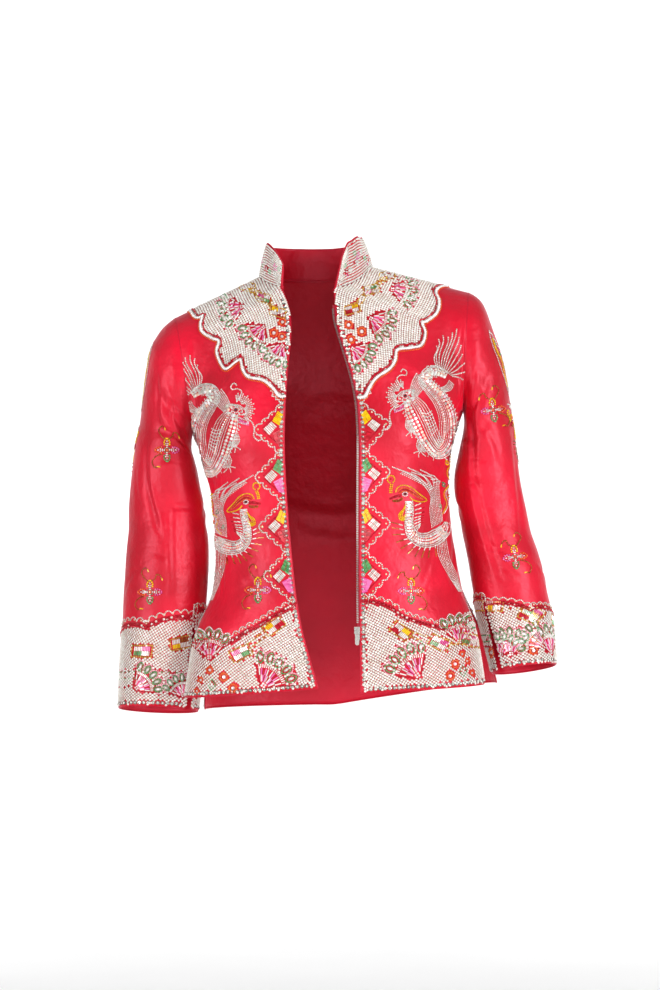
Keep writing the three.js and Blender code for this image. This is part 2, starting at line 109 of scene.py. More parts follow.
def newMaterial(name, shader, links=None):
    made = bpy.data.materials.new(name)
    made.use_nodes = True
    tree = made.node_tree
    tree.nodes.clear()
    surface = addNode(tree, "ShaderNodeBsdfPrincipled", shader)
    out = addNode(tree, "ShaderNodeOutputMaterial")
    tree.links.new(surface.outputs["BSDF"], out.inputs["Surface"])
    for socket, source in (links(tree) if links else {}).items():
        tree.links.new(source, surface.inputs[socket])
    return made


def ramp(tree, factor, stops):
    node = addNode(tree, "ShaderNodeValToRGB", None, {"Fac": factor})
    band = node.color_ramp
    while len(band.elements) < len(stops):
        band.elements.new(1)
    for element, (at, colour) in zip(band.elements, stops):
        element.position = at
        element.color = linear(colour)
    return node.outputs["Color"]


# Noise in the object's own metres, with patches about so wide
def noise(tree, wide, detail=2.0):
    place = addNode(tree, "ShaderNodeTexCoord")
    return addNode(tree, "ShaderNodeTexNoise", {"Scale": 1 / wide, "Detail": detail},
                   {"Vector": place.outputs["Object"]}).outputs["Fac"]


# Woven polyester satin: long floats give a soft sheen along the folds, and the beading puckers it
def satinMaterial(name, colours, sheen, roughness):
    weave = 0.9 * mm  # real threads are 0.1 mm: drawn coarse so that they show
    pucker = 14 * mm
    cloudy = 90 * mm

    def links(tree):
        cloth = addNode(tree, "ShaderNodeUVMap", {"uv_map": "cloth"})
        threads = addNode(tree, "ShaderNodeTexWave",
                         {"Scale": math.tau / 20 / weave, "Distortion": 1.5, "bands_direction": "Y"},
                         {"Vector": cloth.outputs["UV"]})
        soft = addNode(tree, "ShaderNodeBump", {"Strength": 0.5, "Distance": 3.0 * mm},
                       {"Height": noise(tree, pucker, 3.0)})
        fine = addNode(tree, "ShaderNodeBump", {"Strength": 0.12, "Distance": 0.12 * mm},
                       {"Height": threads.outputs["Fac"], "Normal": soft.outputs["Normal"]})
        return {"Base Color": ramp(tree, noise(tree, cloudy), colours), "Normal": fine.outputs["Normal"]}

    return newMaterial(name, {
        "Roughness": roughness, "Sheen Weight": 0.4, "Sheen Roughness": 0.45,
        "Sheen Tint": linear(sheen), "Specular IOR Level": 0.9, "Specular Tint": linear("#FF9CB0"),
    }, links)


# Glass and metal beads, each a little lighter or darker than the next
def beadMaterial(name, dark, light, metallic, roughness, coat=0.0):
    def links(tree):
        tint = addNode(tree, "ShaderNodeAttribute", {"attribute_name": "tint"})
        return {"Base Color": ramp(tree, tint.outputs["Fac"], [(0, dark), (1, light)])}

    return newMaterial(name, {"Metallic": metallic, "Roughness": roughness, "Coat Weight": coat,
                              "Coat Roughness": 0.08}, links)


# Foiled crystal with a rainbow coating; each stone's colour, white to grey with pale pink, green, gold and
# blue flashes, is a painted glint of the light it catches
def crystalMaterial(name):
    def links(tree):
        tint = addNode(tree, "ShaderNodeAttribute", {"attribute_name": "tint"})
        # Painted glints: each stone gets a random base colour between white, grey and coloured flashes
        colours = [(0, "#FFFFFF"), (0.14, "#C4C1B8"), (0.3, "#FFF4E8"), (0.45, "#F6C4AE"), (0.58, "#DCF2E4"),
                   (0.7, "#FFFFFF"), (0.86, "#B2B4AC"), (1, "#F8E2F0")]
        return {"Base Color": ramp(tree, tint.outputs["Fac"], colours)}

    return newMaterial(name, {"Metallic": 0.15, "Roughness": 0.2, "Coat Weight": 0.8,
                              "Coat Roughness": 0.03}, links)


# Woven zip tape: a close herringbone of matt threads
def tapeMaterial():
    rib = 1.1 * mm

    def links(tree):
        place = addNode(tree, "ShaderNodeTexCoord")
        bands = addNode(tree, "ShaderNodeTexWave",
                        {"Scale": math.tau / 20 / rib, "bands_direction": "DIAGONAL"},
                        {"Vector": place.outputs["Object"]})
        bump = addNode(tree, "ShaderNodeBump", {"Strength": 0.5, "Distance": 0.2 * mm},
                       {"Height": bands.outputs["Fac"]})
        return {"Base Color": ramp(tree, bands.outputs["Fac"], [(0, "#A31B31"), (1, "#C42741")]),
                "Normal": bump.outputs["Normal"]}

    return newMaterial("wovenZipTape", {"Roughness": 0.8, "Sheen Weight": 0.2}, links)


# Die-cast zinc with nickel plate, polished, rubbed duller in cloudy patches
def nickelMaterial():
    def links(tree):
        worn = noise(tree, 2.5 * mm, 4.0)
        rough = addNode(tree, "ShaderNodeMapRange", {"To Min": 0.18, "To Max": 0.42}, {"Value": worn})
        return {"Base Color": ramp(tree, worn, [(0, "#8E8C88"), (1, "#C6C3BD")]),
                "Roughness": rough.outputs["Result"]}

    return newMaterial("nickelPlate", {"Metallic": 1.0}, links)


# Painted board of a studio cove
def coveMaterial():
    def links(tree):
        return {"Base Color": ramp(tree, noise(tree, 1 / 3), [(0, "#F1F1F1"), (1, "#F5F5F5")])}

    return newMaterial("paintedCove", {"Roughness": 0.95}, links)


# name: (dark, light, metallic, roughness, coat, record slot)
beadColours = {
    "ivory": ("#EADFD4", "#FFFBF6", 0.0, 0.3, 0.4, "bead_ground"),
    "pearl": ("#EFEAE4", "#FFFFFF", 0.1, 0.22, 0.6, "bead_ground"),
    "silver": ("#D2CCC2", "#FFFDFA", 0.18, 0.25, 0.5, "silver_beads"),
    "white": ("#E8E4E0", "#FFFFFF", 0.2, 0.2, 0.5, "silver_beads"),
    "gold": ("#B98420", "#F2C95E", 0.4, 0.28, 0.4, "gold_beads"),
    "champagne": ("#D9B68C", "#F5E2C4", 0.3, 0.25, 0.5, "gold_beads"),
    "yellow": ("#E8B400", "#FFDC10", 0.0, 0.25, 0.4, "coloured_beads"),
    "orange": ("#E8501E", "#FF7A3C", 0.0, 0.25, 0.4, "coloured_beads"),
    "green": ("#2E8A48", "#74BE7C", 0.0, 0.3, 0.3, "coloured_beads"),
    "jade": ("#0E8A5A", "#2DBE86", 0.2, 0.2, 0.5, "coloured_beads"),
    "pink": ("#DC4F9C", "#F98AC2", 0.0, 0.28, 0.4, "coloured_beads"),
    "blush": ("#F2A8B8", "#FFC6D0", 0.0, 0.3, 0.4, "coloured_beads"),
    "red": ("#A80A1C", "#DC1E36", 0.0, 0.22, 0.5, "coloured_beads"),
    "brown": ("#8A4212", "#C87A2C", 0.3, 0.25, 0.4, "coloured_beads"),
    "black": ("#08080A", "#1C1C22", 0.1, 0.15, 0.6, "coloured_beads"),
}
satinRed = satinMaterial("satinOutside", [(0.3, "#B80018"), (0.7, "#E6042C")], "#FF8AA2", 0.42)
satinInside = satinMaterial("satinInside", [(0.3, "#C0021D"), (0.7, "#D40628")], "#FF5C7A", 0.42)
satinPiping = satinMaterial("satinPiping", [(0.3, "#B80320"), (0.7, "#CC082A")], "#FF6F8C", 0.4)
glass = {name: beadMaterial(name + "Glass", *look[:5]) for name, look in beadColours.items()}
glass["crystal"] = crystalMaterial("rainbowCrystal")
glass["foil"] = beadMaterial("silverFoil", "#8B8982", "#DAD8D2", 0.85, 0.2)
nickel = nickelMaterial()


# Panels: the outer skin of each CAD cloth, read as a grid and made finer

rimAngle = math.radians(45)


def largestSkin(bm):
    seen = set()
    best = (0, [])
    for seed in bm.faces:
        if seed in seen:
            continue
        seen.add(seed)
        region = [seed]
        for face in region:
            for edge in face.edges:
                if len(edge.link_faces) == 2 and edge.calc_face_angle() < rimAngle:
                    fresh = [other for other in edge.link_faces if other not in seen]
                    seen.update(fresh)
                    region.extend(fresh)
        area = sum(face.calc_area() for face in region)
        best = max(best, (area, region), key=lambda item: item[0])
    return best[1]


# Two triangles of a grid that share an edge make a parallelogram of column and row numbers
def gridNumbers(region):
    inside = set(region)
    corners = region[0].verts
    numbers = {region[0]: {corners[0]: (0, 0), corners[1]: (1, 0), corners[2]: (0, 1)}}
    waiting = [region[0]]
    rims = []
    for face in waiting:
        known = numbers[face]
        for edge in face.edges:
            a, b = edge.verts
            others = [other for other in edge.link_faces if other is not face and other in inside]
            if not others:
                rims.append((face, a, b))
                continue
            other = others[0]
            if other in numbers:
                continue
            near = next(v for v in face.verts if v not in (a, b))
            far = next(v for v in other.verts if v not in (a, b))
            place = tuple(known[a][k] + known[b][k] - known[near][k] for k in (0, 1))
            numbers[other] = {a: known[a], b: known[b], far: place}
            waiting.append(other)
    return numbers, rims


def readGrid(name, columns, rows, closed):
    bm = bmesh.new()
    bm.from_mesh(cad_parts[name].data)
    bmesh.ops.remove_doubles(bm, verts=bm.verts, dist=1e-5)
    bm.normal_update()
    numbers, rims = gridNumbers(largestSkin(bm))
    ways = {}
    for face, a, b in rims:
        step = tuple(numbers[face][b][k] - numbers[face][a][k] for k in (0, 1))
        step = max(step, (-step[0], -step[1]))
        ways[step] = ways.get(step, 0) + 1
    across = min(ways, key=lambda step: abs(ways[step] - 2 * columns))
    up = max((step for step in ways if step != across), key=ways.get)
    turn = np.linalg.inv(np.array([across, up], float).T)
    faces = []
    for known in numbers.values():
        faces.append([(np.rint(turn @ np.array(place)).astype(int), vert.co.copy())
                      for vert, place in known.items()])
    low = np.min([place for face in faces for place, co in face], axis=0)
    if closed:
        slit = [turn @ np.array(numbers[face][a]) for face, a, b in rims
                if abs((turn @ np.subtract(numbers[face][a], numbers[face][b]))[0]) < 0.5]
        low[0] = round(slit[0][0])
    grid = np.full((rows + 1, columns + 1, 3), np.nan)
    for face in faces:
        start = min(place[0] for place, co in face)
        base = (start - low[0]) % columns if closed else start - low[0]
        for place, co in face:
            grid[place[1] - low[1], base + place[0] - start] = co
    bm.free()
    # A corner that the rim angle cut off lies opposite its neighbours
    for j, i in np.argwhere(np.isnan(grid).any(axis=2)):
        nextJ, nextI = (1 if j == 0 else j - 1), (1 if i == 0 else i - 1)
        grid[j, i] = grid[nextJ, i] + grid[j, nextI] - grid[nextJ, nextI]
    return grid


def orderGrid(grid, upward, turned):
    if (grid[-1, :, 2].mean() > grid[0, :, 2].mean()) != upward:
        grid = grid[::-1]
    return grid[:, ::-1] if turned(grid) else grid


def widened(grid, closed, openRows):
    wide = np.concatenate([2 * grid[:, :1] - grid[:, 1:2], grid, 2 * grid[:, -1:] - grid[:, -2:-1]], axis=1)
    if closed:
        wide[:openRows, 0] = grid[:openRows, -2]
        wide[:openRows, -1] = grid[:openRows, 1]
    return np.concatenate([2 * wide[:1] - wide[1:2], wide, 2 * wide[-1:] - wide[-2:-1]], axis=0)


def splineWeights(f):
    weights = [-f + 2 * f**2 - f**3, 2 - 5 * f**2 + 3 * f**3, f + 4 * f**2 - 3 * f**3, f**3 - f**2]
    return np.stack(weights) / 2


def finer(grid, steps, closed, openRows):
    rows, columns = grid.shape[0] - 1, grid.shape[1] - 1
    wide = widened(grid, closed, openRows)
    y = np.linspace(0, rows, rows * steps[1] + 1)
    x = np.linspace(0, columns, columns * steps[0] + 1)
    j = np.minimum(y.astype(int), rows - 1)
    i = np.minimum(x.astype(int), columns - 1)
    wy, wx = splineWeights(y - j), splineWeights(x - i)
    rowed = sum(wy[k][:, None, None] * wide[j + k] for k in range(4))
    return sum(wx[k][None, :, None] * rowed[:, i + k] for k in range(4))


def unit(a):
    return a / np.maximum(np.linalg.norm(a, axis=-1, keepdims=True), 1e-12)


creaseGain = 1.4
probe = 0.004  # the share of a panel over which a slope is taken


class Panel:
    def __init__(self, name, size, steps, upward, turned, closed, openRows):
        self.name = name
        self.closed = closed
        grid = orderGrid(readGrid(name, *size, closed), upward, turned)
        self.at = finer(grid, steps, closed, openRows)
        self.high, self.wide = self.at.shape[:2]
        self.measure()
        depth = self.creaseDepth(creases.get(name, [])) * creaseGain
        self.at = self.at - self.out * depth[..., None] * mm
        self.measure()
        self.taken = np.zeros((1200, 900), bool)

    # Normals and lengths along the rows and columns, in millimetres
    def measure(self):
        across = np.gradient(self.at, axis=1)
        up = np.gradient(self.at, axis=0)
        if self.closed:
            wrap = self.at[:, 1] - self.at[:, -2]
            joined = np.linalg.norm(self.at[:, 0] - self.at[:, -1], axis=1) < 2 * mm
            across[joined, 0] = across[joined, -1] = wrap[joined] / 2
        self.across, self.up = unit(across), unit(up)
        out = unit(np.cross(across, up))
        middle = self.at.mean(axis=1, keepdims=True) if self.closed else np.array([0.01, 0.0, -0.3])
        if self.name == "collar":
            middle = np.array([0.0, 0.0, 0.01])
        self.facing = 1 if np.sum(out * (self.at - middle)) > 0 else -1
        self.out = out * self.facing
        stepX = np.linalg.norm(np.diff(self.at, axis=1), axis=2) / mm
        stepY = np.linalg.norm(np.diff(self.at, axis=0), axis=2) / mm
        self.lengthAcross = np.pad(np.cumsum(stepX, axis=1), ((0, 0), (1, 0)))[..., None]
        self.lengthUp = np.pad(np.cumsum(stepY, axis=0), ((1, 0), (0, 0)))[..., None]

    def look(self, table, s, t):
        s = s - np.floor(s) if self.closed else np.clip(s, 0, 1)
        x = s * (self.wide - 1)
        y = np.clip(t, 0, 1) * (self.high - 1)
        i = np.minimum(x.astype(int), self.wide - 2)
        j = np.minimum(y.astype(int), self.high - 2)
        fx, fy = (x - i)[..., None], (y - j)[..., None]
        low = table[j, i] * (1 - fx) + table[j, i + 1] * fx
        high = table[j + 1, i] * (1 - fx) + table[j + 1, i + 1] * fx
        return low * (1 - fy) + high * fy

    def crossing(self, s, t):
        length = self.look(self.lengthAcross, s, t)[..., 0]
        if self.closed:
            whole = self.look(self.lengthAcross, np.full_like(s, 0.999999), t)[..., 0]
            length = length + np.floor(s) * whole
        return length

    # Shares of the panel for places that lie so many millimetres across and up from a spot
    def spread(self, spot, u, v):
        u, v = np.broadcast_arrays(np.asarray(u, float), np.asarray(v, float))
        levels = np.linspace(0, 1, self.high)
        column = self.look(self.lengthUp, np.full(self.high, spot[0]), levels)[:, 0]
        target = np.interp(spot[1], levels, column) + v
        t = np.interp(target, column, levels)
        t = np.where(target < 0, target / column[-1], t)
        t = np.where(target > column[-1], 1 + (target - column[-1]) / column[-1], t)
        start = np.full(t.shape, float(spot[0]))
        goal = self.crossing(start, t) + u
        s = start
        for _ in range(4):
            slope = (self.crossing(s + probe, t) - self.crossing(s - probe, t)) / (2 * probe)
            whole = np.maximum(self.crossing(np.full_like(s, 0.9999), t), 1)
            s = s + (goal - self.crossing(s, t)) / np.maximum(slope, whole * 0.25)
        return s, t

    # The spot of the panel that a ray meets first
    def struck(self, start, way):
        if not hasattr(self, "tree"):
            points = [Vector(p) for p in self.at.reshape(-1, 3)]
            wide = self.wide
            cells = [(j * wide + i, j * wide + i + 1, (j + 1) * wide + i + 1, (j + 1) * wide + i)
                     for j in range(self.high - 1) for i in range(wide - 1)]
            self.tree = BVHTree.FromPolygons(points, cells)
        place, normal, index, distance = self.tree.ray_cast(start, way)
        if place is None:
            place, normal, index, distance = self.tree.find_nearest(self.nearRay(start, way))
        j, i = divmod(index, self.wide - 1)
        corner = self.at[j, i]
        sides = np.array([self.at[j, i + 1] - corner, self.at[j + 1, i] - corner])
        shares = np.clip(np.linalg.lstsq(sides.T, np.array(place) - corner, rcond=None)[0], 0, 1)
        return (i + float(shares[0])) / (self.wide - 1), (j + float(shares[1])) / (self.high - 1)

    def nearRay(self, start, way):
        points = self.at.reshape(-1, 3) - np.array(start)
        along = points @ np.array(way)
        away = np.linalg.norm(points - along[:, None] * np.array(way), axis=1)
        return Vector(start) + Vector(way) * float(along[np.argmin(away)])

    def photoSpot(self, x, y):
        return self.struck(*photoRay(x, y))

    def creaseDepth(self, folds):
        t, s = np.meshgrid(np.linspace(0, 1, self.high), np.linspace(0, 1, self.wide), indexing="ij")
        wide = self.lengthAcross[self.high // 2, -1, 0]
        long = self.lengthUp[-1, self.wide // 2, 0]
        depth = np.zeros_like(s)
        for s0, t0, s1, t1, broad, deep, bow in folds:
            wayS, wayT = (s1 - s0) * wide, (t1 - t0) * long
            length = math.hypot(wayS, wayT)
            for turn in ((-1, 0, 1) if self.closed else (0,)):
                du, dv = (s - s0 + turn) * wide, (t - t0) * long
                along = (du * wayS + dv * wayT) / length**2
                k = np.clip(along, 0, 1)
                side = (dv * wayS - du * wayT) / length + bow * np.sin(k * math.pi)
                beyond = (along - k) * length
                away = np.sqrt(side**2 + beyond**2) / broad
                ridge = np.exp(-((side / broad - 1.5) ** 2) - (beyond / broad) ** 2)
                fade = 0.25 + 0.75 * np.sin(k * math.pi) ** 0.7
                depth += deep * fade * (np.exp(-(away**2)) - 0.55 * ridge)
        edge = np.minimum(t, 1 - t)
        if not self.closed:
            edge = np.minimum(edge, np.minimum(s, 1 - s))
        return depth * np.clip(edge * 14, 0, 1)

    # Takes the places within a radius, so that the ground's beads leave them out
    def mark(self, s, t, radius):
        wide = np.maximum(self.crossing(np.full_like(s, 0.9999), t), 1)
        high = self.lengthUp[-1, self.wide // 2, 0]
        reach = np.arange(-radius, radius + 0.1, 0.45)
        for du in reach:
            for dv in reach:
                if du * du + dv * dv <= radius * radius:
                    i, j = self.cell(s + du / wide, t + dv / high)
                    self.taken[j, i] = True

    def cell(self, s, t):
        s = s - np.floor(s) if self.closed else s
        i = np.clip((s * self.taken.shape[1]).astype(int), 0, self.taken.shape[1] - 1)
        j = np.clip((t * self.taken.shape[0]).astype(int), 0, self.taken.shape[0] - 1)
        return i, j

    def free(self, s, t):
        i, j = self.cell(s, t)
        return ~self.taken[j, i]


# Creases: from (s, t) to (s, t), half width and depth in millimetres, and how far they bow
creases = {
    "front_right": [
        (0.97, 0.56, 0.55, 0.5, 6, 1.6, 4), (0.95, 0.5, 0.6, 0.4, 7, 1.8, -5),
        (0.98, 0.42, 0.5, 0.3, 6, 1.6, 5), (0.6, 0.28, 0.34, 0.22, 3, 0.9, 2),
        (0.74, 0.27, 0.66, 0.2, 4, 1.2, 2), (0.4, 0.7, 0.62, 0.66, 4, 0.9, 3),
        (0.98, 0.66, 0.72, 0.6, 5, 1.5, 3), (0.88, 0.8, 0.8, 0.62, 6, 1.8, 3),
        (0.2, 0.36, 0.55, 0.3, 4, 0.8, 3), (0.15, 0.24, 0.5, 0.2, 4, 0.8, -3),
        (0.93, 0.34, 0.66, 0.24, 6, 1.5, 4), (0.3, 0.44, 0.62, 0.46, 4, 0.7, 2),
    ],
    "front_left": [
        (0.97, 0.58, 0.6, 0.48, 6, 1.7, 4), (0.96, 0.48, 0.66, 0.42, 6, 1.6, -4),
        (0.97, 0.4, 0.6, 0.3, 7, 1.8, 5), (0.56, 0.3, 0.38, 0.21, 3, 0.9, -2),
        (0.72, 0.34, 0.7, 0.2, 5, 1.4, 3), (0.36, 0.69, 0.6, 0.64, 4, 0.9, -3),
        (0.98, 0.68, 0.76, 0.58, 5, 1.5, 3), (0.86, 0.82, 0.8, 0.64, 6, 1.7, -3),
        (0.2, 0.34, 0.5, 0.36, 4, 0.8, 3), (0.12, 0.26, 0.46, 0.2, 4, 0.8, 3),
        (0.94, 0.3, 0.7, 0.22, 6, 1.5, -4), (0.25, 0.5, 0.6, 0.44, 4, 0.7, 2),
    ],
    "back": [
        (0.03, 0.52, 0.32, 0.46, 7, 1.8, 5), (0.97, 0.54, 0.68, 0.47, 7, 1.8, -5),
        (0.04, 0.42, 0.28, 0.34, 7, 1.6, 4), (0.96, 0.42, 0.7, 0.36, 7, 1.6, -4),
        (0.35, 0.4, 0.6, 0.38, 7, 1.4, 4), (0.42, 0.34, 0.66, 0.3, 7, 1.3, -3),
        (0.1, 0.66, 0.22, 0.58, 6, 1.6, 3), (0.9, 0.66, 0.78, 0.58, 6, 1.6, 3),
    ],
    "sleeve_right": [
        (0.27, 0.44, 0.14, 0.66, 4, 2.0, 5), (0.23, 0.52, 0.17, 0.6, 3, 1.2, 2),
        (0.04, 0.3, 0.24, 0.4, 5, 1.6, 5), (0.02, 0.55, 0.13, 0.57, 4, 1.8, 2),
        (0.13, 0.56, 0.11, 0.8, 4, 1.8, 2), (0.3, 0.24, 0.24, 0.36, 5, 1.4, 3),
        (0.16, 0.12, 0.2, 0.3, 4, 1.6, 3), (0.4, 0.5, 0.38, 0.74, 6, 1.3, 3),
        (0.24, 0.72, 0.34, 0.77, 4, 1.1, 3), (0.1, 0.42, 0.22, 0.48, 3, 1.2, 2),
        (0.32, 0.5, 0.26, 0.58, 3, 0.9, 2), (0.12, 0.7, 0.2, 0.68, 3, 1.0, 1),
        (0.7, 0.46, 0.94, 0.56, 6, 2.0, 4), (0.66, 0.22, 0.9, 0.32, 6, 1.8, 4),
        (0.6, 0.6, 0.8, 0.74, 6, 1.4, 3),
    ],
    "sleeve_left": [
        (0.1, 0.12, 0.08, 0.5, 5, 2.4, 4), (0.08, 0.5, 0.1, 0.76, 5, 2.0, -3),
        (0.02, 0.5, 0.1, 0.53, 4, 1.9, 2), (0.03, 0.32, 0.1, 0.4, 4, 1.8, 3),
        (0.04, 0.66, 0.2, 0.7, 4, 1.4, 3), (0.2, 0.14, 0.24, 0.3, 6, 1.4, 4),
        (0.34, 0.46, 0.24, 0.66, 6, 1.3, 5), (0.16, 0.36, 0.22, 0.5, 5, 1.1, 3),
        (0.3, 0.7, 0.42, 0.76, 4, 1.1, 3), (0.06, 0.44, 0.16, 0.49, 3, 1.2, 2),
        (0.16, 0.56, 0.26, 0.53, 3, 0.9, 2), (0.1, 0.72, 0.2, 0.76, 3, 1.0, 1),
        (0.7, 0.5, 0.94, 0.58, 6, 2.0, 4), (0.66, 0.24, 0.9, 0.34, 6, 1.8, -4),
        (0.6, 0.62, 0.82, 0.74, 6, 1.4, 3),
    ],
    "collar": [(0.2, 0.2, 0.24, 0.9, 5, 0.5, 1), (0.76, 0.2, 0.72, 0.9, 5, 0.5, 1)],
}


# Tests for columns that run the wrong way: x should fall, or x should rise, along a row
def risesInX(grid):
    return grid[:, 0, 0].mean() < grid[:, -1, 0].mean()


def fallsInX(grid):
    return not risesInX(grid)


# A sleeve's quarter way round should be at the front
def startsBehind(grid):
    return grid[:, 7, 1].mean() > grid[:, 21, 1].mean()


# name: (columns and rows of the CAD grid, steps between them, rows upward, test for the columns,
# closed tube, rows from the armhole to the cuff's slit)
panelSet = {
    "front_right": ((16, 32), (4, 4), True, risesInX, False, 0),
    "front_left": ((16, 32), (4, 4), True, fallsInX, False, 0),
    "back": ((24, 32), (3, 4), True, fallsInX, False, 0),
    "sleeve_right": ((28, 24), (4, 5), False, startsBehind, True, 20),
    "sleeve_left": ((28, 24), (4, 5), False, startsBehind, True, 20),
    "collar": ((22, 4), (5, 6), True, fallsInX, False, 0),
    "collar_facing": ((22, 4), (5, 6), True, fallsInX, False, 0),
}
panels = {name: Panel(name, *settings) for name, settings in panelSet.items()}
report("panels read")


def addPiece(name, mesh, material):
    piece = addObject(name, mesh)
    if material is not None:
        mesh.materials.append(material)
    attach(piece, "jacket")
    return piece


clothSet = {"thick": 1.0}
for name, panel in panels.items():
    bm = bmesh.new()
    bmesh.ops.create_grid(bm, x_segments=panel.wide - 1, y_segments=panel.high - 1, size=0.5)
    uv = bm.loops.layers.uv.new("cloth")
    spots = {}
    for vert in bm.verts:
        i, j = round((vert.co.x + 0.5) * (panel.wide - 1)), round((vert.co.y + 0.5) * (panel.high - 1))
        spots[vert] = (panel.lengthAcross[j, i, 0] * mm, panel.lengthUp[j, i, 0] * mm)
        vert.co = panel.at[j, i]
    for face in bm.faces:
        face.smooth = True
        for loop in face.loops:
            loop[uv].uv = spots[loop.vert]
    if panel.closed:
        bmesh.ops.remove_doubles(bm, verts=bm.verts, dist=0.7 * mm)
    if panel.facing < 0:
        bmesh.ops.reverse_faces(bm, faces=bm.faces)
    mesh = meshFrom(bm, name + "Cloth")
    outside = satinInside if name == "collar_facing" else satinRed
    piece = addPiece(name + "_cloth", mesh, outside)
    mesh.materials.append(satinInside)
    wall = piece.modifiers.new("wall", "SOLIDIFY")
    wall.thickness = clothSet["thick"] * mm
    wall.offset = -1
    wall.material_offset = 1
    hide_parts(name)
    panel.piece = piece
report("cloth made")


# Beads: their shapes one unit wide, their recorder, and the ways of sewing them

def beadShape(name):
    bm = bmesh.new()
    if name == "seed":
        bmesh.ops.create_uvsphere(bm, u_segments=6, v_segments=2, radius=0.5)
    if name == "pearl":
        bmesh.ops.create_icosphere(bm, subdivisions=2, radius=0.5)
    if name == "bugle":
        bmesh.ops.create_cone(bm, cap_ends=True, segments=6, radius1=0.5, radius2=0.5, depth=1)
        bmesh.ops.rotate(bm, verts=bm.verts, matrix=Matrix.Rotation(math.pi / 2, 3, "Y"))
    if name == "stone":
        bmesh.ops.create_cone(bm, cap_ends=True, segments=8, radius1=0.5, radius2=0.28, depth=1)
    if name == "sequin":
        bmesh.ops.create_cone(bm, cap_ends=True, segments=10, radius1=0.42, radius2=0.5, depth=1)
        top = max(bm.faces, key=lambda face: face.calc_center_median().z)
        bmesh.ops.inset_region(bm, faces=[top], thickness=0.22, depth=-0.7)
    mesh = meshFrom(bm, name + "Bead")
    for face in mesh.polygons:
        face.use_smooth = name in ("seed", "pearl")
    return mesh


def seed(colour, k=1.0):
    return ("seed", colour, (2.3 * k, 2.3 * k, 1.8 * k))


def bugle(colour, length=4.0):
    return ("bugle", colour, (length, 1.5, 1.4))


def stone(colour, wide):
    return ("stone", colour, (wide, wide, wide * 0.42))


def gem(colour, long, wide):
    return ("seed", colour, (long, wide, wide * 0.7))


def pearl(colour, wide):
    return ("pearl", colour, (wide, wide, wide * 0.85))


def sequin(wide):
    return ("sequin", "foil", (wide, wide, 1.0))


sewn = {}


def quaternions(x, y, z):
    m = np.stack([x, y, z], axis=-1)
    trace = [1 + m[:, 0, 0] + m[:, 1, 1] + m[:, 2, 2], 1 + m[:, 0, 0] - m[:, 1, 1] - m[:, 2, 2],
             1 - m[:, 0, 0] + m[:, 1, 1] - m[:, 2, 2], 1 - m[:, 0, 0] - m[:, 1, 1] + m[:, 2, 2]]
    w, a, b, c = [np.sqrt(np.maximum(part, 0)) / 2 for part in trace]
    return np.stack([w, np.copysign(a, m[:, 2, 1] - m[:, 1, 2]), np.copysign(b, m[:, 0, 2] - m[:, 2, 0]),
                     np.copysign(c, m[:, 1, 0] - m[:, 0, 1])], axis=-1)


def sew(panel, kind, s, t, along, lift=0.0, covers=None):
    if len(s) == 0:
        return
    shape, colour, size = kind
    out = unit(panel.look(panel.out, s, t))
    x = unit(along - out * np.sum(along * out, axis=1, keepdims=True))
    place = panel.look(panel.at, s, t) + out * (size[2] * 0.4 + lift) * mm
    sizes = np.array(size) * mm * dice.uniform(0.93, 1.05, (len(s), 1))
    batch = sewn.setdefault((panel.name, shape, colour), [])
    batch.append((place, quaternions(x, np.cross(out, x), out), sizes))
    radius = max(size[0], size[1]) / 2 + 0.35 if covers is None else covers
    if radius > 0:
        panel.mark(s, t, radius)


# Shares of the panel a little way off, the way being a vector along the cloth in millimetres
def nudge(panel, s, t, way):
    a, b = panel.look(panel.across, s, t), panel.look(panel.up, s, t)
    skew = np.sum(a * b, axis=1)
    pa, pb = np.sum(way * a, axis=1), np.sum(way * b, axis=1)
    flat = np.maximum(1 - skew**2, 0.05)
    wide = np.maximum(panel.crossing(s + probe, t) - panel.crossing(s - probe, t), 0.02) / (2 * probe)
    high = panel.lengthUp[-1, panel.wide // 2, 0]
    return s + (pa - skew * pb) / flat / wide, t + (pb - skew * pa) / flat / high


def directions(panel, s, t):
    place = panel.look(panel.at, s, t)
    return unit(np.gradient(place, axis=0)) if len(s) > 1 else unit(panel.look(panel.across, s, t))


def lengthsOf(panel, s, t):
    place = panel.look(panel.at, s, t)
    return np.concatenate([[0], np.cumsum(np.linalg.norm(np.diff(place, axis=0), axis=1))]) / mm


# Which spots lie on the panel, clear of its cut edges, and pass the test given
def onPanel(panel, s, t, keep):
    inside = (t > 0.003) & (t < 0.997)
    if not panel.closed:
        inside &= (s > 0.004) & (s < 0.996)
    if keep is not None:
        inside &= keep(s, t)
    return inside


# A string of beads along a path of shares, or so many millimetres aside of it
def stitch(panel, s, t, kind, pitch=None, aside=0.0, lift=0.0, keep=None, covers=None):
    s, t = np.asarray(s, float), np.asarray(t, float)
    length = lengthsOf(panel, s, t)
    if callable(aside) or aside != 0:
        steps = np.linspace(0, length[-1], max(int(length[-1] / 0.8), 3))
        s, t = np.interp(steps, length, s), np.interp(steps, length, t)
        way = directions(panel, s, t)
        side = np.cross(panel.look(panel.out, s, t), way)
        reach = aside(steps, length[-1]) if callable(aside) else np.full(len(steps), aside)
        s, t = nudge(panel, s, t, side * reach[:, None])
        length = lengthsOf(panel, s, t)
    pitch = pitch or kind[2][0] * 1.03
    if length[-1] < pitch * 0.4:
        return
    count = max(int(round(length[-1] / pitch)), 1)
    at = (np.arange(count) + 0.5) * length[-1] / count
    s, t = np.interp(at, length, s), np.interp(at, length, t)
    along = directions(panel, s, t)
    inside = onPanel(panel, s, t, keep)
    sew(panel, kind, s[inside], t[inside], along[inside], lift, covers)


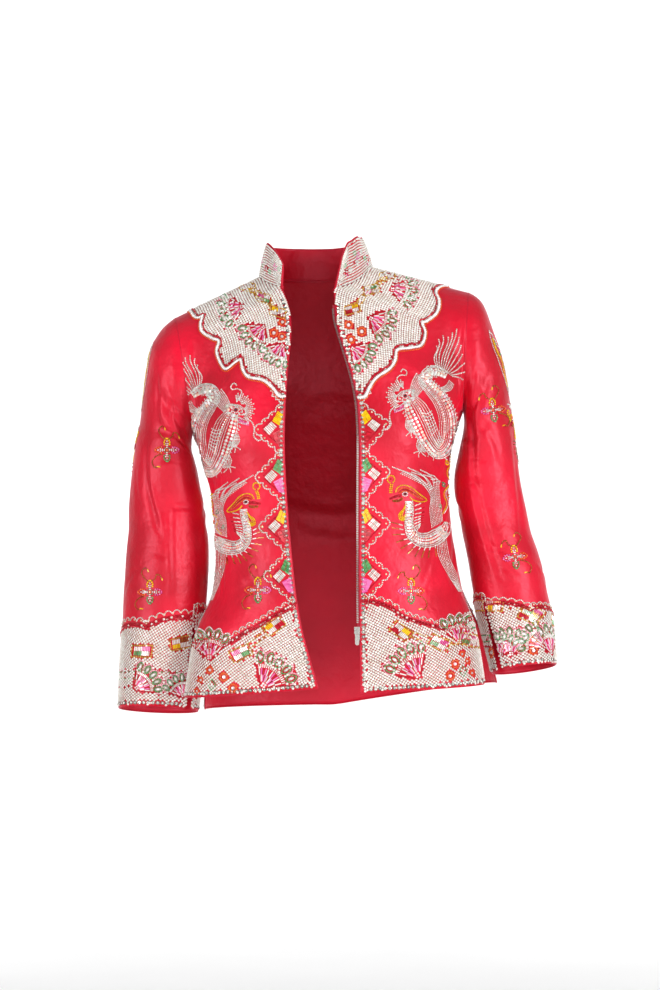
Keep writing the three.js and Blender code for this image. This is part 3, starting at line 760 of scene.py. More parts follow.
def smoothPath(points):
    step = 1.5
    p = np.asarray(points, float)
    if len(p) < 3:
        count = max(int(np.linalg.norm(p[-1] - p[0]) / step), 2)
        return np.linspace(p[0], p[-1], count)
    wide = np.concatenate([[2 * p[0] - p[1]], p, [2 * p[-1] - p[-2]]])
    made = []
    for k in range(len(p) - 1):
        count = max(int(np.linalg.norm(p[k + 1] - p[k]) / step), 2)
        w = splineWeights(np.arange(count) / count)
        made.append(sum(w[m][:, None] * wide[k + m] for m in range(4)))
    return np.concatenate(made + [p[-1:]])


def straightPath(points):
    parts = [np.linspace(a, b, max(int(math.dist(a, b)), 2)) for a, b in zip(points, points[1:])]
    return np.concatenate(parts)


def arcPath(middle, radius, start, end, squash=1.0):
    angles = np.radians(np.linspace(start, end, max(int(abs(end - start) / 12), 4)))
    across = middle[0] + radius * np.cos(angles)
    return np.stack([across, middle[1] + radius * squash * np.sin(angles)], axis=1)


def polar(radius, angle, middle=(0, 0)):
    turn = math.radians(angle)
    return middle[0] + radius * math.cos(turn), middle[1] + radius * math.sin(turn)


def bearing(way):
    return math.degrees(math.atan2(way[1], way[0]))


photoScale = 1.35  # millimetres a pixel
frontScale = 1.318  # the same at the front edges, which are nearer


# A design drawn in millimetres about a spot of a panel, across and up
class Chart:
    def __init__(self, panel, spot, turn=0.0, scale=1.0, mirror=1, keep=None):
        self.panel, self.spot, self.scale, self.mirror, self.keep = panel, spot, scale, mirror, keep
        self.turn = math.radians(turn)

    # Millimetres across and up from the chart's spot
    def offsets(self, points):
        p = np.asarray(points, float).reshape(-1, 2) * self.scale
        c, w = math.cos(self.turn), math.sin(self.turn)
        return (p[:, 0] * c - p[:, 1] * w) * self.mirror, p[:, 0] * w + p[:, 1] * c

    def shares(self, points):
        return self.panel.spread(self.spot, *self.offsets(points))

    def line(self, points, kind, smooth=True):
        path = smoothPath(points) if smooth else straightPath(points)
        stitch(self.panel, *self.shares(path), kind, keep=self.keep)

    def dots(self, points, kind, angle=0.0):
        p = np.asarray(points, float).reshape(-1, 2)
        way = np.array(polar(0.6, angle))
        s, t = self.shares(p)
        s2, t2 = self.shares(p + way)
        along = self.panel.look(self.panel.at, s2, t2) - self.panel.look(self.panel.at, s, t)
        inside = onPanel(self.panel, s, t, self.keep)
        sew(self.panel, kind, s[inside], t[inside], along[inside])

    # Parallel bugles from side AB of a quad to side DC
    def hatch(self, corners, colour, parts=1):
        a, b, c, d = [np.array(corner, float) for corner in corners]
        count = max(round(float(np.linalg.norm(d - a)) * self.scale / 2.3), 2)
        for k in range(count):
            share = (k + 0.5) / count
            start, end = a + (d - a) * share, b + (c - b) * share
            step = (end - start) / parts
            length = float(np.linalg.norm(step)) * self.scale * 0.94
            for m in range(parts):
                self.dots([start + step * (m + 0.5)], ("bugle", colour, (length, 1.8, 1.6)), bearing(step))

    # Keeps the ground's beads off a ring or wedge about a place
    def claim(self, middle, near, far, start=0, end=360):
        radii = np.arange(near, far + 0.1, 2.6)
        spots = [polar(radius, angle, middle) for radius in radii for angle in np.arange(start, end + 1, 10)]
        self.panel.mark(*self.shares(spots), 2.0)

    # Places as the chart's spot is given: here as shares of the panel
    def spots(self, points):
        return self.shares(points)

    # A chart about a place of this one
    def sub(self, place, turn=0.0, scale=1.0, flip=1):
        spot = tuple(float(part[0]) for part in self.spots([place]))
        whole = math.degrees(self.turn) + turn
        return type(self)(self.panel, spot, whole, self.scale * scale, self.mirror * flip, self.keep)


# A design as the photo shows it, thrown onto the panel from the camera about a pixel
class FrontChart(Chart):
    def spots(self, points):
        across, up = self.offsets(points)
        return self.spot[0] + across / photoScale, self.spot[1] - up / photoScale

    def shares(self, points):
        met = np.array([self.panel.photoSpot(*pixel) for pixel in zip(*self.spots(points))])
        return met[:, 0], met[:, 1]


# Shares inside a closed outline of shares
def within(outline):
    poly = np.asarray(outline, float)

    def test(s, t):
        hit = np.zeros(np.shape(s), bool)
        for (x1, y1), (x2, y2) in zip(poly, np.roll(poly, -1, axis=0)):
            if y1 == y2:
                continue
            spans = (y1 > t) != (y2 > t)
            hit ^= spans & (s < (x2 - x1) * (t - y1) / (y2 - y1) + x1)
        return hit

    return test


# Ground of seed beads in straight rows, round what is already sewn
def fillRows(panel, spot, angle, reach, inside, rowPitch=3.45, bead=(3.85, 3.75, 2.2)):
    chart = Chart(panel, spot, angle)

    def unfilled(s, t):
        return inside(s, t) & panel.free(s, t)

    for k in np.arange(-reach[1], reach[1], rowPitch):
        count = int(reach[0] / 2)
        path = np.stack([np.linspace(-reach[0], reach[0], count), np.full(count, k)], axis=1)
        s, t = chart.shares(path)
        fits = (t > -0.02) & (t < 1.02)
        if not panel.closed:
            fits &= (s > -0.03) & (s < 1.03)
        if fits.sum() > 2:
            first, last = np.flatnonzero(fits)[[0, -1]]
            row = slice(first, last + 1)
            stitch(panel, s[row], t[row], ("seed", "ivory", bead), rowPitch, keep=unfilled, covers=0)


def instancer(shape):
    group = bpy.data.node_groups.new("sewBeads", "GeometryNodeTree")
    group.interface.new_socket("Geometry", in_out="INPUT", socket_type="NodeSocketGeometry")
    group.interface.new_socket("Geometry", in_out="OUTPUT", socket_type="NodeSocketGeometry")
    source = addNode(group, "NodeGroupInput")
    bead = addNode(group, "GeometryNodeObjectInfo", {"Object": shape, "As Instance": True})
    turn = addNode(group, "GeometryNodeInputNamedAttribute", {"data_type": "QUATERNION", "Name": "turn"})
    size = addNode(group, "GeometryNodeInputNamedAttribute", {"data_type": "FLOAT_VECTOR", "Name": "size"})
    placed = addNode(group, "GeometryNodeInstanceOnPoints", None, {
        "Points": source.outputs[0], "Instance": bead.outputs["Geometry"],
        "Rotation": turn.outputs["Attribute"], "Scale": size.outputs["Attribute"]})
    real = addNode(group, "GeometryNodeRealizeInstances", None, {"Geometry": placed.outputs[0]})
    addNode(group, "NodeGroupOutput", None, {"Geometry": real.outputs[0]})
    return group


def makeBeads():
    total = 0
    shapes = {name: beadShape(name) for name in ("seed", "pearl", "bugle", "stone", "sequin")}
    merged = {}
    for (place, shape, colour), batch in sewn.items():
        ground = place if colour == "ivory" else "all"
        merged.setdefault((ground, shape, colour), []).extend(batch)
    for (ground, shape, colour), batch in sorted(merged.items()):
        places, turns, sizes = [np.concatenate(part) for part in zip(*batch)]
        points = bpy.data.meshes.new("points")
        points.vertices.add(len(places))
        points.vertices.foreach_set("co", places.astype(np.float32).ravel())
        for name, kind, values in (("turn", "QUATERNION", turns), ("size", "FLOAT_VECTOR", sizes),
                                   ("tint", "FLOAT", dice.uniform(0, 1, len(places)))):
            layer = points.attributes.new(name, kind, "POINT")
            layer.data.foreach_set("vector" if kind == "FLOAT_VECTOR" else "value",
                                   values.astype(np.float32).ravel())
        bead = bpy.data.objects.new("bead", shapes[shape].copy())
        bead.data.materials.append(glass[colour])
        holder = addObject("holder", points)
        holder.modifiers.new("beads", "NODES").node_group = instancer(bead)
        evaluated = holder.evaluated_get(bpy.context.evaluated_depsgraph_get())
        mesh = bpy.data.meshes.new_from_object(evaluated)
        bpy.data.objects.remove(holder)
        bpy.data.objects.remove(bead)
        for spare in ("turn", "size"):
            if spare in mesh.attributes:
                mesh.attributes.remove(mesh.attributes[spare])
        name = colour + shape.capitalize() + "s" + ("" if ground == "all" else "_" + ground)
        addPiece(name, mesh, None)
        faces = sum(len(p.vertices) - 2 for p in mesh.polygons)
        total += faces
        print("beads", name, len(places), faces)
    print("bead triangles", total)


# Designs, drawn in millimetres

# A pointed leaf with a stone at its heart, and a halo of pale beads round its outer half
def leaf(chart, middle, angle, long=12.5, wide=7.0, edge="green", heart="silver", halo=None):
    part = chart.sub(middle, angle)
    half, rise = long / 2, wide / 2
    for side in (1, -1):
        bow = [(-half * 0.35, side * rise * 0.9), (half * 0.35, side * rise * 0.85)]
        part.line([(-half, 0), *bow, (half, 0)], seed(edge, 1.08))
    part.dots([(0, 0)], gem(heart, long * 0.66, wide * 0.56))
    if halo:
        grow = 2.3
        part.line([(-half * 0.5, rise + grow * 0.8), (half * 0.3, rise + grow), (half + grow, 0),
                   (half * 0.3, -rise - grow), (-half * 0.5, -rise - grow * 0.8)], seed(halo, 1.05))


fanSet = {
    "half": 43, "ribs": 13, "rib": (8.5, 24.0), "band": (24.8, 28.8), "bugles": 17, "leaves": 5,
    "leafRing": 36.5, "colours": ("red", "silver", "pink", "red", "pink", "silver"),
}


# A fan of ribs above four crystals, banded in silver, with leaves round its rim
def fan(chart, halo="blush"):
    half = fanSet["half"]
    chart.claim((0, 0), 3, fanSet["band"][1], 90 - half, 90 + half)
    for side in (1, -1):
        angle = 90 + side * (half + 4)
        chart.line([polar(2, angle), polar(fanSet["band"][1] + 1, angle)], seed("red"), smooth=False)
    inner, outer = fanSet["rib"]
    for k in range(fanSet["ribs"]):
        angle = 90 - half + (k + 0.5) * 2 * half / fanSet["ribs"]
        for m, share in enumerate((0.27, 0.75)):
            place = polar(inner + (outer - inner) * share, angle)
            colour = fanSet["colours"][(k + m) % 6]
            chart.dots([place], ("bugle", colour, ((outer - inner) * 0.48 * chart.scale, 1.7, 1.5)), angle)
    for k in range(fanSet["bugles"]):
        angle = 90 - half + (k + 0.5) * 2 * half / fanSet["bugles"]
        place = polar(sum(fanSet["band"]) / 2, angle)
        chart.dots([place], bugle("silver", 4.0 * chart.scale), angle)
    for place in ((-1.6, 3.6), (1.6, 3.6), (-1.6, 6.6), (1.6, 6.6)):
        chart.dots([place], stone("white", 3.1 * chart.scale))
    chart.dots([(0, 5.1)], seed("red", 0.6))
    span = half + 2
    for k in range(fanSet["leaves"]):
        angle = 90 - span + (k + 0.5) * 2 * span / fanSet["leaves"]
        leaf(chart, polar(fanSet["leafRing"], angle), angle, 14, 8.4, halo=halo)


lozengeSet = {"wide": 13.0, "high": 8.0, "lean": 4.0}


# A lozenge edged in gold, of two colours and two silvers
def lozenge(chart, first, second):
    wide, high, lean = lozengeSet.values()
    below = [(-wide, -high + lean), (wide - lean, -high - lean * 0.2)]
    corners = below + [(wide, high - lean), (-wide + lean, high)]
    chart.line(corners + corners[:1], seed("gold", 1.2), smooth=False)
    a, b, c, d = [np.array(corner) * 0.8 for corner in corners]
    ab, cd, ad, bc, middle = (a + b) / 2, (c + d) / 2, (a + d) / 2, (b + c) / 2, (a + b + c + d) / 4
    chart.hatch([a, ad, middle, ab], first)
    chart.hatch([ad, d, cd, middle], "silver")
    chart.hatch([ab, middle, bc, b], "silver")
    chart.hatch([middle, cd, c, bc], second)


# A ring of wide beads round a stone
def ring(chart, middle, radius=5.1, colour="orange", heart="silver"):
    chart.claim(middle, 0, radius + 1.6)
    chart.line(arcPath(middle, radius, 0, 352), ("seed", colour, (2.0, 4.2 * chart.scale, 2.2)))
    chart.dots([middle], stone(heart, radius * 1.15 * chart.scale))


flowerSet = {"petal": 10.5, "wide": 6.2, "reach": 7.0, "colours": ("yellow", "pink", "green", "orange")}


# Four petals round a gold heart, with two feelers above and a curl below
def flower(chart):
    for k, colour in enumerate(flowerSet["colours"]):
        angle = 90 + 90 * k
        middle = polar(flowerSet["reach"], angle)
        part = chart.sub(middle, angle)
        half, rise = flowerSet["petal"] / 2, flowerSet["wide"] / 2
        for sign in (1, -1):
            petal = [(-half * 0.4, sign * rise * 0.8), (half * 0.4, sign * rise), (half + 1, 0)]
            part.line(petal, seed(colour, 1.2))
            part.line([(-half, 0), (half * 0.2, sign * rise * 0.42)], seed("silver"))
        part.dots([(half * 0.5, 0)], gem("silver", 3.4, 1.8), 0)
        chart.dots([polar(3.0, angle + 45)], seed("jade", 0.9))
    chart.dots([(0, 0)], stone("gold", 2.6))
    left = [(-1, 11), (-6, 15), (-7, 19), (-11, 18), (-13, 14)]
    right = [(1, 11), (5, 14), (9, 21), (5, 26), (2, 23)]
    for path in (left, right):
        chart.line(path, seed("brown", 0.9))
        chart.dots([path[-1]], bugle("yellow", 4.0), 70)
    tail = [(5, -4), (12, -7), (16, -13), (13, -19), (9, -18)]
    chart.line(tail, seed("brown", 0.9))
    chart.dots([tail[-1]], bugle("yellow", 4.5), 10)


scallopSet = {"pitch": 11.0, "rise": 4.8, "base": 1.2}


# Silver scallops with a champagne pearl in each, over a red line
def scallops(panel, s, t, side, keep=None):
    pitch, rise, base = scallopSet.values()
    length = lengthsOf(panel, np.asarray(s), np.asarray(t))[-1]
    count = max(round(length / pitch), 1)

    def wave(d, whole):
        return side * (base + 1.2 + rise * np.abs(np.sin(d / whole * count * math.pi)) ** 0.7)

    stitch(panel, s, t, seed("silver", 0.95), aside=wave, keep=keep)
    stitch(panel, s, t, pearl("champagne", 2.6), pitch=length / count, aside=side * (base + 2.9), keep=keep)
    stitch(panel, s, t, seed("red"), aside=side * base * 0.6, keep=keep)
    stitch(panel, s, t, seed("red"), aside=-side * 1.0, keep=keep)
    stitch(panel, s, t, seed("red", 1.25), 2.4, -side * 3.2, 0.9, keep, 1.5)


pointSet = {"deep": 31.0, "half": 27.5}


# A stepped point on the front's edge: two coloured bundles and a silver one in a scalloped rim
def edgePoint(chart, first, second):
    deep, half = pointSet.values()
    for side in (1, -1):
        start, end = np.array([1.5, side * half]), np.array([deep - 2, side * 1.2])
        out = np.array([half, side * (deep - 2)]) / math.hypot(half, deep - 2)
        share = np.linspace(0, 1, 49)
        bulge = 1.4 + 4.4 * np.abs(np.sin(share * math.pi * 3.5)) ** 0.6
        rim = start + (end - start) * share[:, None] + out * bulge[:, None]
        chart.line(rim, seed("silver", 1.05), smooth=False)
        chart.line([start - [0, side * 3.6], end - [3.4, 0]], seed("red", 0.9))
        lobes = [start + (end - start) * k / 7 + out * 2.6 for k in (1, 3, 5)]
        chart.dots(lobes, pearl("champagne", 2.6))
    chart.hatch([(2.2, 16), (8, 21.5), (14.4, 9.2), (5.6, 2.6)], first, 2)
    chart.hatch([(8.6, 2), (15.2, 8.6), (24.6, 0), (17.6, -7.6)], "silver", 2)
    chart.hatch([(3, 0), (14.4, -6.4), (8.6, -18), (2.2, -20)], second, 2)
    chart.line(arcPath((deep - 0.5, 0), 5.0, -72, 72), seed("silver", 1.05))
    chart.dots([(deep, 0)], pearl("champagne", 2.6))


# Lines that keep their share of the half width beside a spine, where nothing is sewn yet
def rows(chart, spine, halfWidths, lines):
    path = smoothPath(spine)
    way = np.gradient(path, axis=0)
    side = np.stack([-way[:, 1], way[:, 0]], axis=1) / np.maximum(np.linalg.norm(way, axis=1), 1e-6)[:, None]
    share = np.linspace(0, 1, len(path))
    half = np.interp(share, np.linspace(0, 1, len(halfWidths)), halfWidths)

    def clear(s, t):
        return chart.panel.free(s, t) & (chart.keep(s, t) if chart.keep else True)

    for across, kind in lines:
        stitch(chart.panel, *chart.shares(path + side * (half * across)[:, None]), kind, keep=clear)


# A coiled dragon of crystal scales and silver lines. Its eye is at the chart's middle, its
# head looks to the front edge, its coil hangs below and its plume rises at the side.
def dragon(chart):
    coil = [(5, -3), (14, -18), (24, -38), (33, -58), (45, -73), (55, -64), (58, -46), (56, -24), (47, -4),
            (34, 11), (26, 22), (30, 32), (42, 34), (56, 28)]
    scale = stone("crystal", 5.0)
    rows(chart, coil, [8, 14, 15, 14, 12, 11, 11, 11, 10.5, 9.5, 8, 7, 6, 4],
         [(-0.74, scale), (-0.36, scale), (-1.02, seed("silver", 0.9)), (-0.05, seed("silver", 0.9)),
          (0.17, seed("silver", 0.9)), (0.39, stone("crystal", 3.4)), (0.62, seed("silver", 0.9)),
          (0.85, seed("silver", 0.9)), (1.08, seed("silver", 0.9))])
    chart.dots([(6, 5), (10, 2), (11, -3), (6, -7), (2, -12), (11, 7)], scale)
    # Spines along the outside of the coil
    bends = smoothPath(coil)
    way = np.gradient(bends, axis=0)
    for k in range(8, len(bends) - 8, 3):
        side = np.array([-way[k][1], way[k][0]]) / np.linalg.norm(way[k])
        root = bends[k] - side * np.interp(k / len(bends), [0, 0.4, 1], [15, 12, 5])
        chart.line([root, root - side * 3.4 + way[k] * 1.2], seed("silver", 0.85))
    # Belly curl inside the coil
    for k in range(7):
        chart.line([(20 + k * 2.6, -22 - k * 5), (29 + k * 1.6, -24 - k * 4.2), (36 + k * 1.2, -20 - k * 4)],
                   seed("silver", 0.85))
    # Head: snout, brow, jaw, eye and tongue
    chart.line(arcPath((0, 0), 3.6, 0, 350), seed("white", 0.95))
    chart.dots([(0, 0)], pearl("black", 3.6))
    muzzle = [(8, 9), (2, 7.5), (-5, 5.5), (-10, 1), (-13, -4), (-10, -8), (-4, -7), (2, -8)]
    chart.line(muzzle, seed("silver"))
    chart.line([(6, 6.2), (0, 5.6), (-5, 3), (-8.5, -1), (-8, -5)], seed("silver"))
    chart.dots([(-5, 0), (-6.6, -3.6), (-3.4, -4.6), (5, 3), (5.6, -1), (3, -5)], stone("crystal", 3.0))
    chart.line([(-2, -10), (-8, -14), (-13, -16), (-14, -20), (-8, -20), (0, -16)], seed("silver"))
    chart.line([(-3, -12), (-9, -18), (-16, -19)], seed("pink", 0.95))
    chart.line([(-2, -14), (-9, -20.5), (-15, -22.5)], seed("pink", 0.95))
    for k in range(17):
        angle = 84 + k * 9.5
        root = polar(9 + 2 * math.sin(k), angle, (-4, 1))
        chart.line([root, polar(19 + 2.5 * (k % 2), angle, (-5, 1))], seed("silver"))
    crest = [(-2, 10), (-9, 18), (-11, 24), (-6, 28), (1, 28), (2, 33), (-3, 36), (-6, 32)]
    whisker = [(-9, -11), (-19, -19), (-21, -29), (-19, -38), (-24, -45), (-29, -43), (-27, -38)]
    for path in (crest, whisker):
        chart.line(path, seed("silver"))
    # Horns and mane behind the brow
    for k in range(8):
        chart.line([(6 + k * 1.4, 6 - k * 0.9), (10 + k * 1.9, 20 - k * 1.6), (16 + k * 1.6, 31 - k * 2.2)],
                   seed("silver", 0.9))
    # Plume of the tail
    tips = [(42, 68), (45, 77), (51, 82), (58, 80), (64, 86), (70, 91), (73, 80), (76, 69), (78, 57),
            (80, 45), (81, 33), (78, 22)]
    for k, tip in enumerate(tips):
        root = (42 + k * 1.9, 40 - k * 1.2)
        bend = (root[0] * 0.6 + tip[0] * 0.4 - 3 + k * 0.6, root[1] * 0.6 + tip[1] * 0.4)
        wave = (root[0] * 0.2 + tip[0] * 0.8 + 1.6, root[1] * 0.2 + tip[1] * 0.8)
        chart.line([root, bend, wave, tip], seed("silver"))
    # Claws: a thigh of curved lines and three talons
    for place, turn, flip in (((6, -36), 10, 1), ((60, 16), 40, -1), ((22, -62), -10, 1)):
        limb = chart.sub(place, turn, 1.0, flip)
        for k in range(5):
            limb.line([(-4 + k * 1.9, 4), (-6 + k * 2.2, -5), (-1 + k * 2, -13)], seed("silver", 0.9))
        for tip in ((-8, -17), (0, -21), (9, -18)):
            limb.line([(1, -12), ((1 + tip[0]) / 2 - 1.4, (tip[1] - 12) / 2), tip], seed("silver", 0.9))


# A phoenix with its eye at the chart's middle and its tail falling at the side
def phoenix(chart):
    neck = [(5, -9), (6, -22), (5, -38), (8, -52), (18, -61), (32, -62), (44, -56), (52, -48)]
    scale = stone("crystal", 4.2)
    silver = seed("silver")
    rows(chart, neck, [4.6, 4.8, 5, 6, 8, 9.5, 10, 7],
         [(0.42, scale), (-0.42, scale), (1, silver), (-1, silver), (0, stone("crystal", 3.4)),
          (0.72, silver), (-0.74, silver)])
    # Head: white eye, orange and red crest edged in yellow, beak, curl and wattle
    chart.line(arcPath((0, 0), 3.4, 0, 350, 0.8), seed("white", 0.9))
    chart.dots([(0, 0)], gem("black", 5.0, 2.8))
    crest = [(-13, 2), (-10, 9), (-2, 12), (8, 9), (18, 1), (29, -8), (22, -10.5), (12, -8.5), (6, -4)]
    chart.line(crest, seed("yellow", 0.95))
    for k, colour in enumerate(["orange", "red", "orange"]):
        drop = 2.2 * (k + 1)
        root = (-11 + drop * 0.4, 3 - drop * 0.2)
        chart.line([root, (-7, 8.6 - drop), (0, 10.6 - drop), (9, 6.6 - drop * 0.9), (18, -1 - drop * 0.6),
                    (24, -7)], seed(colour, 0.9))
    for drop in (0, 2.2):
        chart.line([(-4, -1 - drop), (-12, -2 - drop), (-21, -6 - drop * 0.6)], seed("red", 0.95))
        chart.line([(-3, -5 - drop), (-10, -8 - drop), (-17, -8.6 - drop * 0.5)], seed("brown", 0.95))
    chart.line([(-18, 1), (-18, 8), (-16.5, 14)], seed("yellow"))
    chart.line([(-20.4, 1), (-20.4, 8), (-19, 14)], seed("yellow"))
    chart.line(arcPath((-19, 20), 5.0, -70, 265), seed("yellow"))
    chart.dots([(-19, 20)], stone("red", 3.2))
    for grow in (0, 2.0, 4.0):
        down = [(1.5 - grow * 0.1, -12), (-2 + grow * 0.3, -20), (-8 + grow, -27)]
        foot = [(-7 + grow * 0.9, -34 + grow * 0.6), (-1 - grow * 0.4, -35 + grow * 0.6)]
        chart.line(down + foot + [(2 - grow * 0.3, -27)], seed("yellow", 0.95))
    # Barbs down both sides of the neck and round the breast
    path = smoothPath(neck)
    way = np.gradient(path, axis=0)
    for k in range(5, len(path) - 10, 3):
        side = np.array([-way[k][1], way[k][0]]) / np.linalg.norm(way[k])
        slope = way[k] / np.linalg.norm(way[k]) * -2.4
        if k < len(path) * 0.52:
            start = path[k] + side * 6.5
            angle = bearing(side * 5 + slope)
            pair = [start + side * 2.5 + slope * 0.4, start + side * 7.2 + slope]
            chart.dots(pair, bugle("silver", 4.6), angle)
            chart.dots([start + side * 11.6 + slope * 1.5], bugle("red", 4.2), angle)
        if k > len(path) * 0.3:
            start = path[k] - side * 8.5
            angle = bearing(-side * 5 + slope)
            chart.dots([start - side * 2.6 + slope * 0.4], bugle("silver", 5.4), angle)
            chart.dots([start - side * 8 + slope * 1.3], bugle("brown", 5.0), angle)
            chart.dots([start - side * 13 + slope * 2], bugle("brown", 4.6), angle)
    # Body, folded wing and its long plumes, and the tail
    rows(chart, [(44, -58), (54, -47), (56, -38)], [9, 8, 3],
         [(1, silver), (-1, silver), (0.4, stone("crystal", 3.2)), (-0.4, stone("crystal", 3.0)),
          (0, silver)])
    tips = [(-18, 37), (-8, 33), (3, 36), (8, 30), (20, 33), (24, 26), (30, 27), (34, 20), (38, 15)]
    for k, tip in enumerate(tips):
        root = (36 + k * 1.8, -46 + k * 1.1)
        knee = (33 + k * 1.5, 0 + k * 1.2)
        bend = ((knee[0] + tip[0]) / 2 + 5, (knee[1] + tip[1]) / 2 + 5)
        chart.line([root, (33 + k * 1.9, -22), knee, bend, tip], seed("silver", 0.95))
    for k in range(16):
        share = k / 15
        place = (33 - 40 * share, 6 + 25 * share - 4 * share * share)
        chart.line([place, (place[0] + 6, place[1] + 3.4)], seed("silver", 0.9))
    for k in range(7):
        spread = k - 3
        upper = [(44 + k * 1.6, -62 + k * 1.3), (52 + spread * 2.6, -84 - spread)]
        lower = [(62 + spread * 2.0, -106), (74 + spread * 0.6, -132)]
        chart.line(upper + lower, seed("silver", 0.95))
    chart.dots([(48, -70), (50, -78), (53, -87), (57, -95)], stone("crystal", 3.0))


# A long leaf like a flame: one edge smooth, the other ragged, with yellow and green at its heart
def spray(chart):
    chart.line([(0, -52), (5, -30), (9, -8), (8, 14), (3, 32), (-4, 42)], seed("silver"))
    ragged = [(0, -52)]
    for k in range(8):
        y = -44 + k * 11
        ragged += [(-6 - 7 * math.sin((k + 1) * 0.36), y), (-3 - 6 * math.sin((k + 1) * 0.36), y + 4)]
    chart.line(ragged + [(-4, 42)], seed("white"), smooth=False)
    for aside in (0, 2.4):
        chart.line([(1 - aside, -40), (3 - aside, -20), (-1 - aside, -4), (3 - aside, 12), (-2 - aside, 30)],
                   seed("yellow"))
    chart.line([(5, -24), (6, -6), (5.6, 12)], seed("orange", 0.9))
    for y in (-14, 4, 20):
        chart.dots([(-5, y)], gem("green", 5, 2.6), 80)


# A climbing vine of yellow, green and pink
def vine(chart, high):
    bends = [(0, 0), (3.5, 0.17), (-2.5, 0.34), (3, 0.52), (-3, 0.7), (2, 0.85), (0, 1)]
    path = [(across, high * up) for across, up in bends]
    chart.line(path, seed("yellow", 0.95))
    chart.line([(x + 2.4, y + 1) for x, y in path], seed("silver", 0.9))
    for k in range(5):
        side = 1 if k % 2 else -1
        part = chart.sub((side * 4.5, high * (0.12 + 0.18 * k)), 90 - side * 38)
        colour = ("green", "orange", "jade", "pink", "yellow")[k]
        part.line([(-3, 0), (0, 2), (4, 0)], seed(colour, 0.9))
        part.line([(-3, 0), (0, -2), (4, 0)], seed(colour, 0.9))
        part.dots([(0, 0)], gem("jade" if k % 2 else "silver", 3.8, 1.8))


# Where the beading lies. Photo places are pixels of the 660 x 990 frame.

# A smooth path through pixels, with a first and last spot worked out from its ends
def photoPath(panel, pixels, first=None, last=None):
    spots = [panel.photoSpot(*pixel) for pixel in pixels]
    spots = ([first(spots[0])] if first else []) + spots + ([last(spots[-1])] if last else [])
    scale = np.array([panel.lengthAcross[panel.high // 2, -1, 0], panel.lengthUp[-1, panel.wide // 2, 0]])
    path = smoothPath(np.array(spots) * scale) / scale
    return path[:, 0], path[:, 1]


# Which side of a path lies inside a beaded field
def innerSide(panel, s, t, inside):
    k = len(s) // 2
    here = slice(k - 1, k + 2)
    side = np.cross(panel.look(panel.out, s[here], t[here]), directions(panel, s[here], t[here]))
    s2, t2 = nudge(panel, s[here], t[here], side * 5)
    return 1 if inside(s2, t2)[1] else -1


# Shares across, so many millimetres from the first column, or from the last if negative
def acrossTo(panel, u, t):
    whole = panel.look(panel.lengthAcross, np.full_like(t, 0.99999), t)[:, 0]
    goal = u if u >= 0 else whole + u
    s = goal / whole
    for _ in range(4):
        slope = (panel.crossing(s + 0.003, t) - panel.crossing(s - 0.003, t)) / 0.006
        s = s + (goal - panel.crossing(s, t)) / np.maximum(slope, whole * 0.3)
    return s


# Shares up, so many millimetres from the first row, or from the last if negative
def upTo(panel, v, s):
    levels = np.linspace(0, 1, panel.high)
    made = []
    for share in s:
        column = panel.look(panel.lengthUp, np.full(panel.high, share), levels)[:, 0]
        made.append(np.interp(v if v >= 0 else column[-1] + v, column, levels))
    return np.array(made)


# The share up a front's edge at a pixel's height
def edgeLevel(panel, y):
    z = cameraSet["place"][2] + (cameraSet["high"] / 2 - y) * frontScale * mm
    return float(np.interp(z, panel.at[:, 0, 2], np.linspace(0, 1, panel.high)))


# Each side's motifs are at (x, y), then turn and scale, then colours
yokeRim = {
    "front_right": [
        (189, 311), (194, 316), (199, 318), (203, 316), (201, 323), (202, 331), (212, 338), (219, 341),
        (217, 351), (220, 361), (226, 369), (236, 362), (241, 360), (243, 369), (249, 377), (263, 380),
        (273, 388), (279, 396),
    ],
    "front_left": [
        (447.5, 287), (436, 291), (439, 301), (437, 312), (427, 321), (422, 323), (425, 333), (421, 345),
        (409, 348), (397, 350), (395, 360), (389, 369), (376, 378), (369, 388), (365, 396),
    ],
}
hemRim = {
    "front_right": [
        (300, 602), (288, 607), (278, 613), (270, 617), (258, 625), (249, 629), (235, 638), (222, 645),
        (210, 644), (204, 641),
    ],
    "front_left": [
        (364, 600), (378, 602), (390, 606), (397, 611), (404, 616), (415, 620), (436, 626), (448, 628),
        (458, 624), (466, 619),
    ],
}
yokeFans = {
    "front_right": [(245, 306, -103, 0.95), (266, 325, -134, 0.95), (284, 343, -147, 0.86)],
    "front_left": [(389, 289, -95, 0.98), (368, 317, -117, 0.98), (350, 347, -124, 0.9)],
}
yokeLozenges = {
    "front_right": [(278, 312, "red", "yellow"), (264, 298, "green", "pink"), (248, 287, "yellow", "red")],
    "front_left": [(352, 309, "red", "yellow"), (371, 290, "pink", "green"), (387, 276, "yellow", "red")],
}
yokeRings = {
    "front_right": [(282.5, 322, 0.85), (274, 333, 0.95), (282, 336.5, 0.85)],
    "front_left": [(348.5, 325, 0.95), (361.5, 331.5, 1), (351, 339.5, 0.95)],
}
hemFans = {
    "front_right": [(209.5, 661, 0, 1.0, "white"), (261, 689, 35, 1.18, "blush")],
    "front_left": [(459, 645, 0, 0.95, "white"), (420, 679, 35, 1.18, "blush")],
}
hemLozenges = {
    "front_right": [(274, 626, -24, "red", "yellow"), (241, 653, -14, "green", "pink")],
    "front_left": [
        (401, 631, -24, "red", "yellow"), (439, 643, -14, "green", "pink"),
        (470, 640, 0, "green", "pink"),
    ],
}
hemRings = {
    "front_right": [(201, 680, 0.65), (210, 670, 0.8), (224, 677, 1), (233, 688, 1), (197, 691, 0.55)],
    "front_left": [(455, 664, 0.95), (450, 676, 1), (462, 654, 0.6), (467, 661, 0.6), (472, 673, 0.6)],
}
hemDiamond = {"front_right": (212, 685), "front_left": (463, 671)}
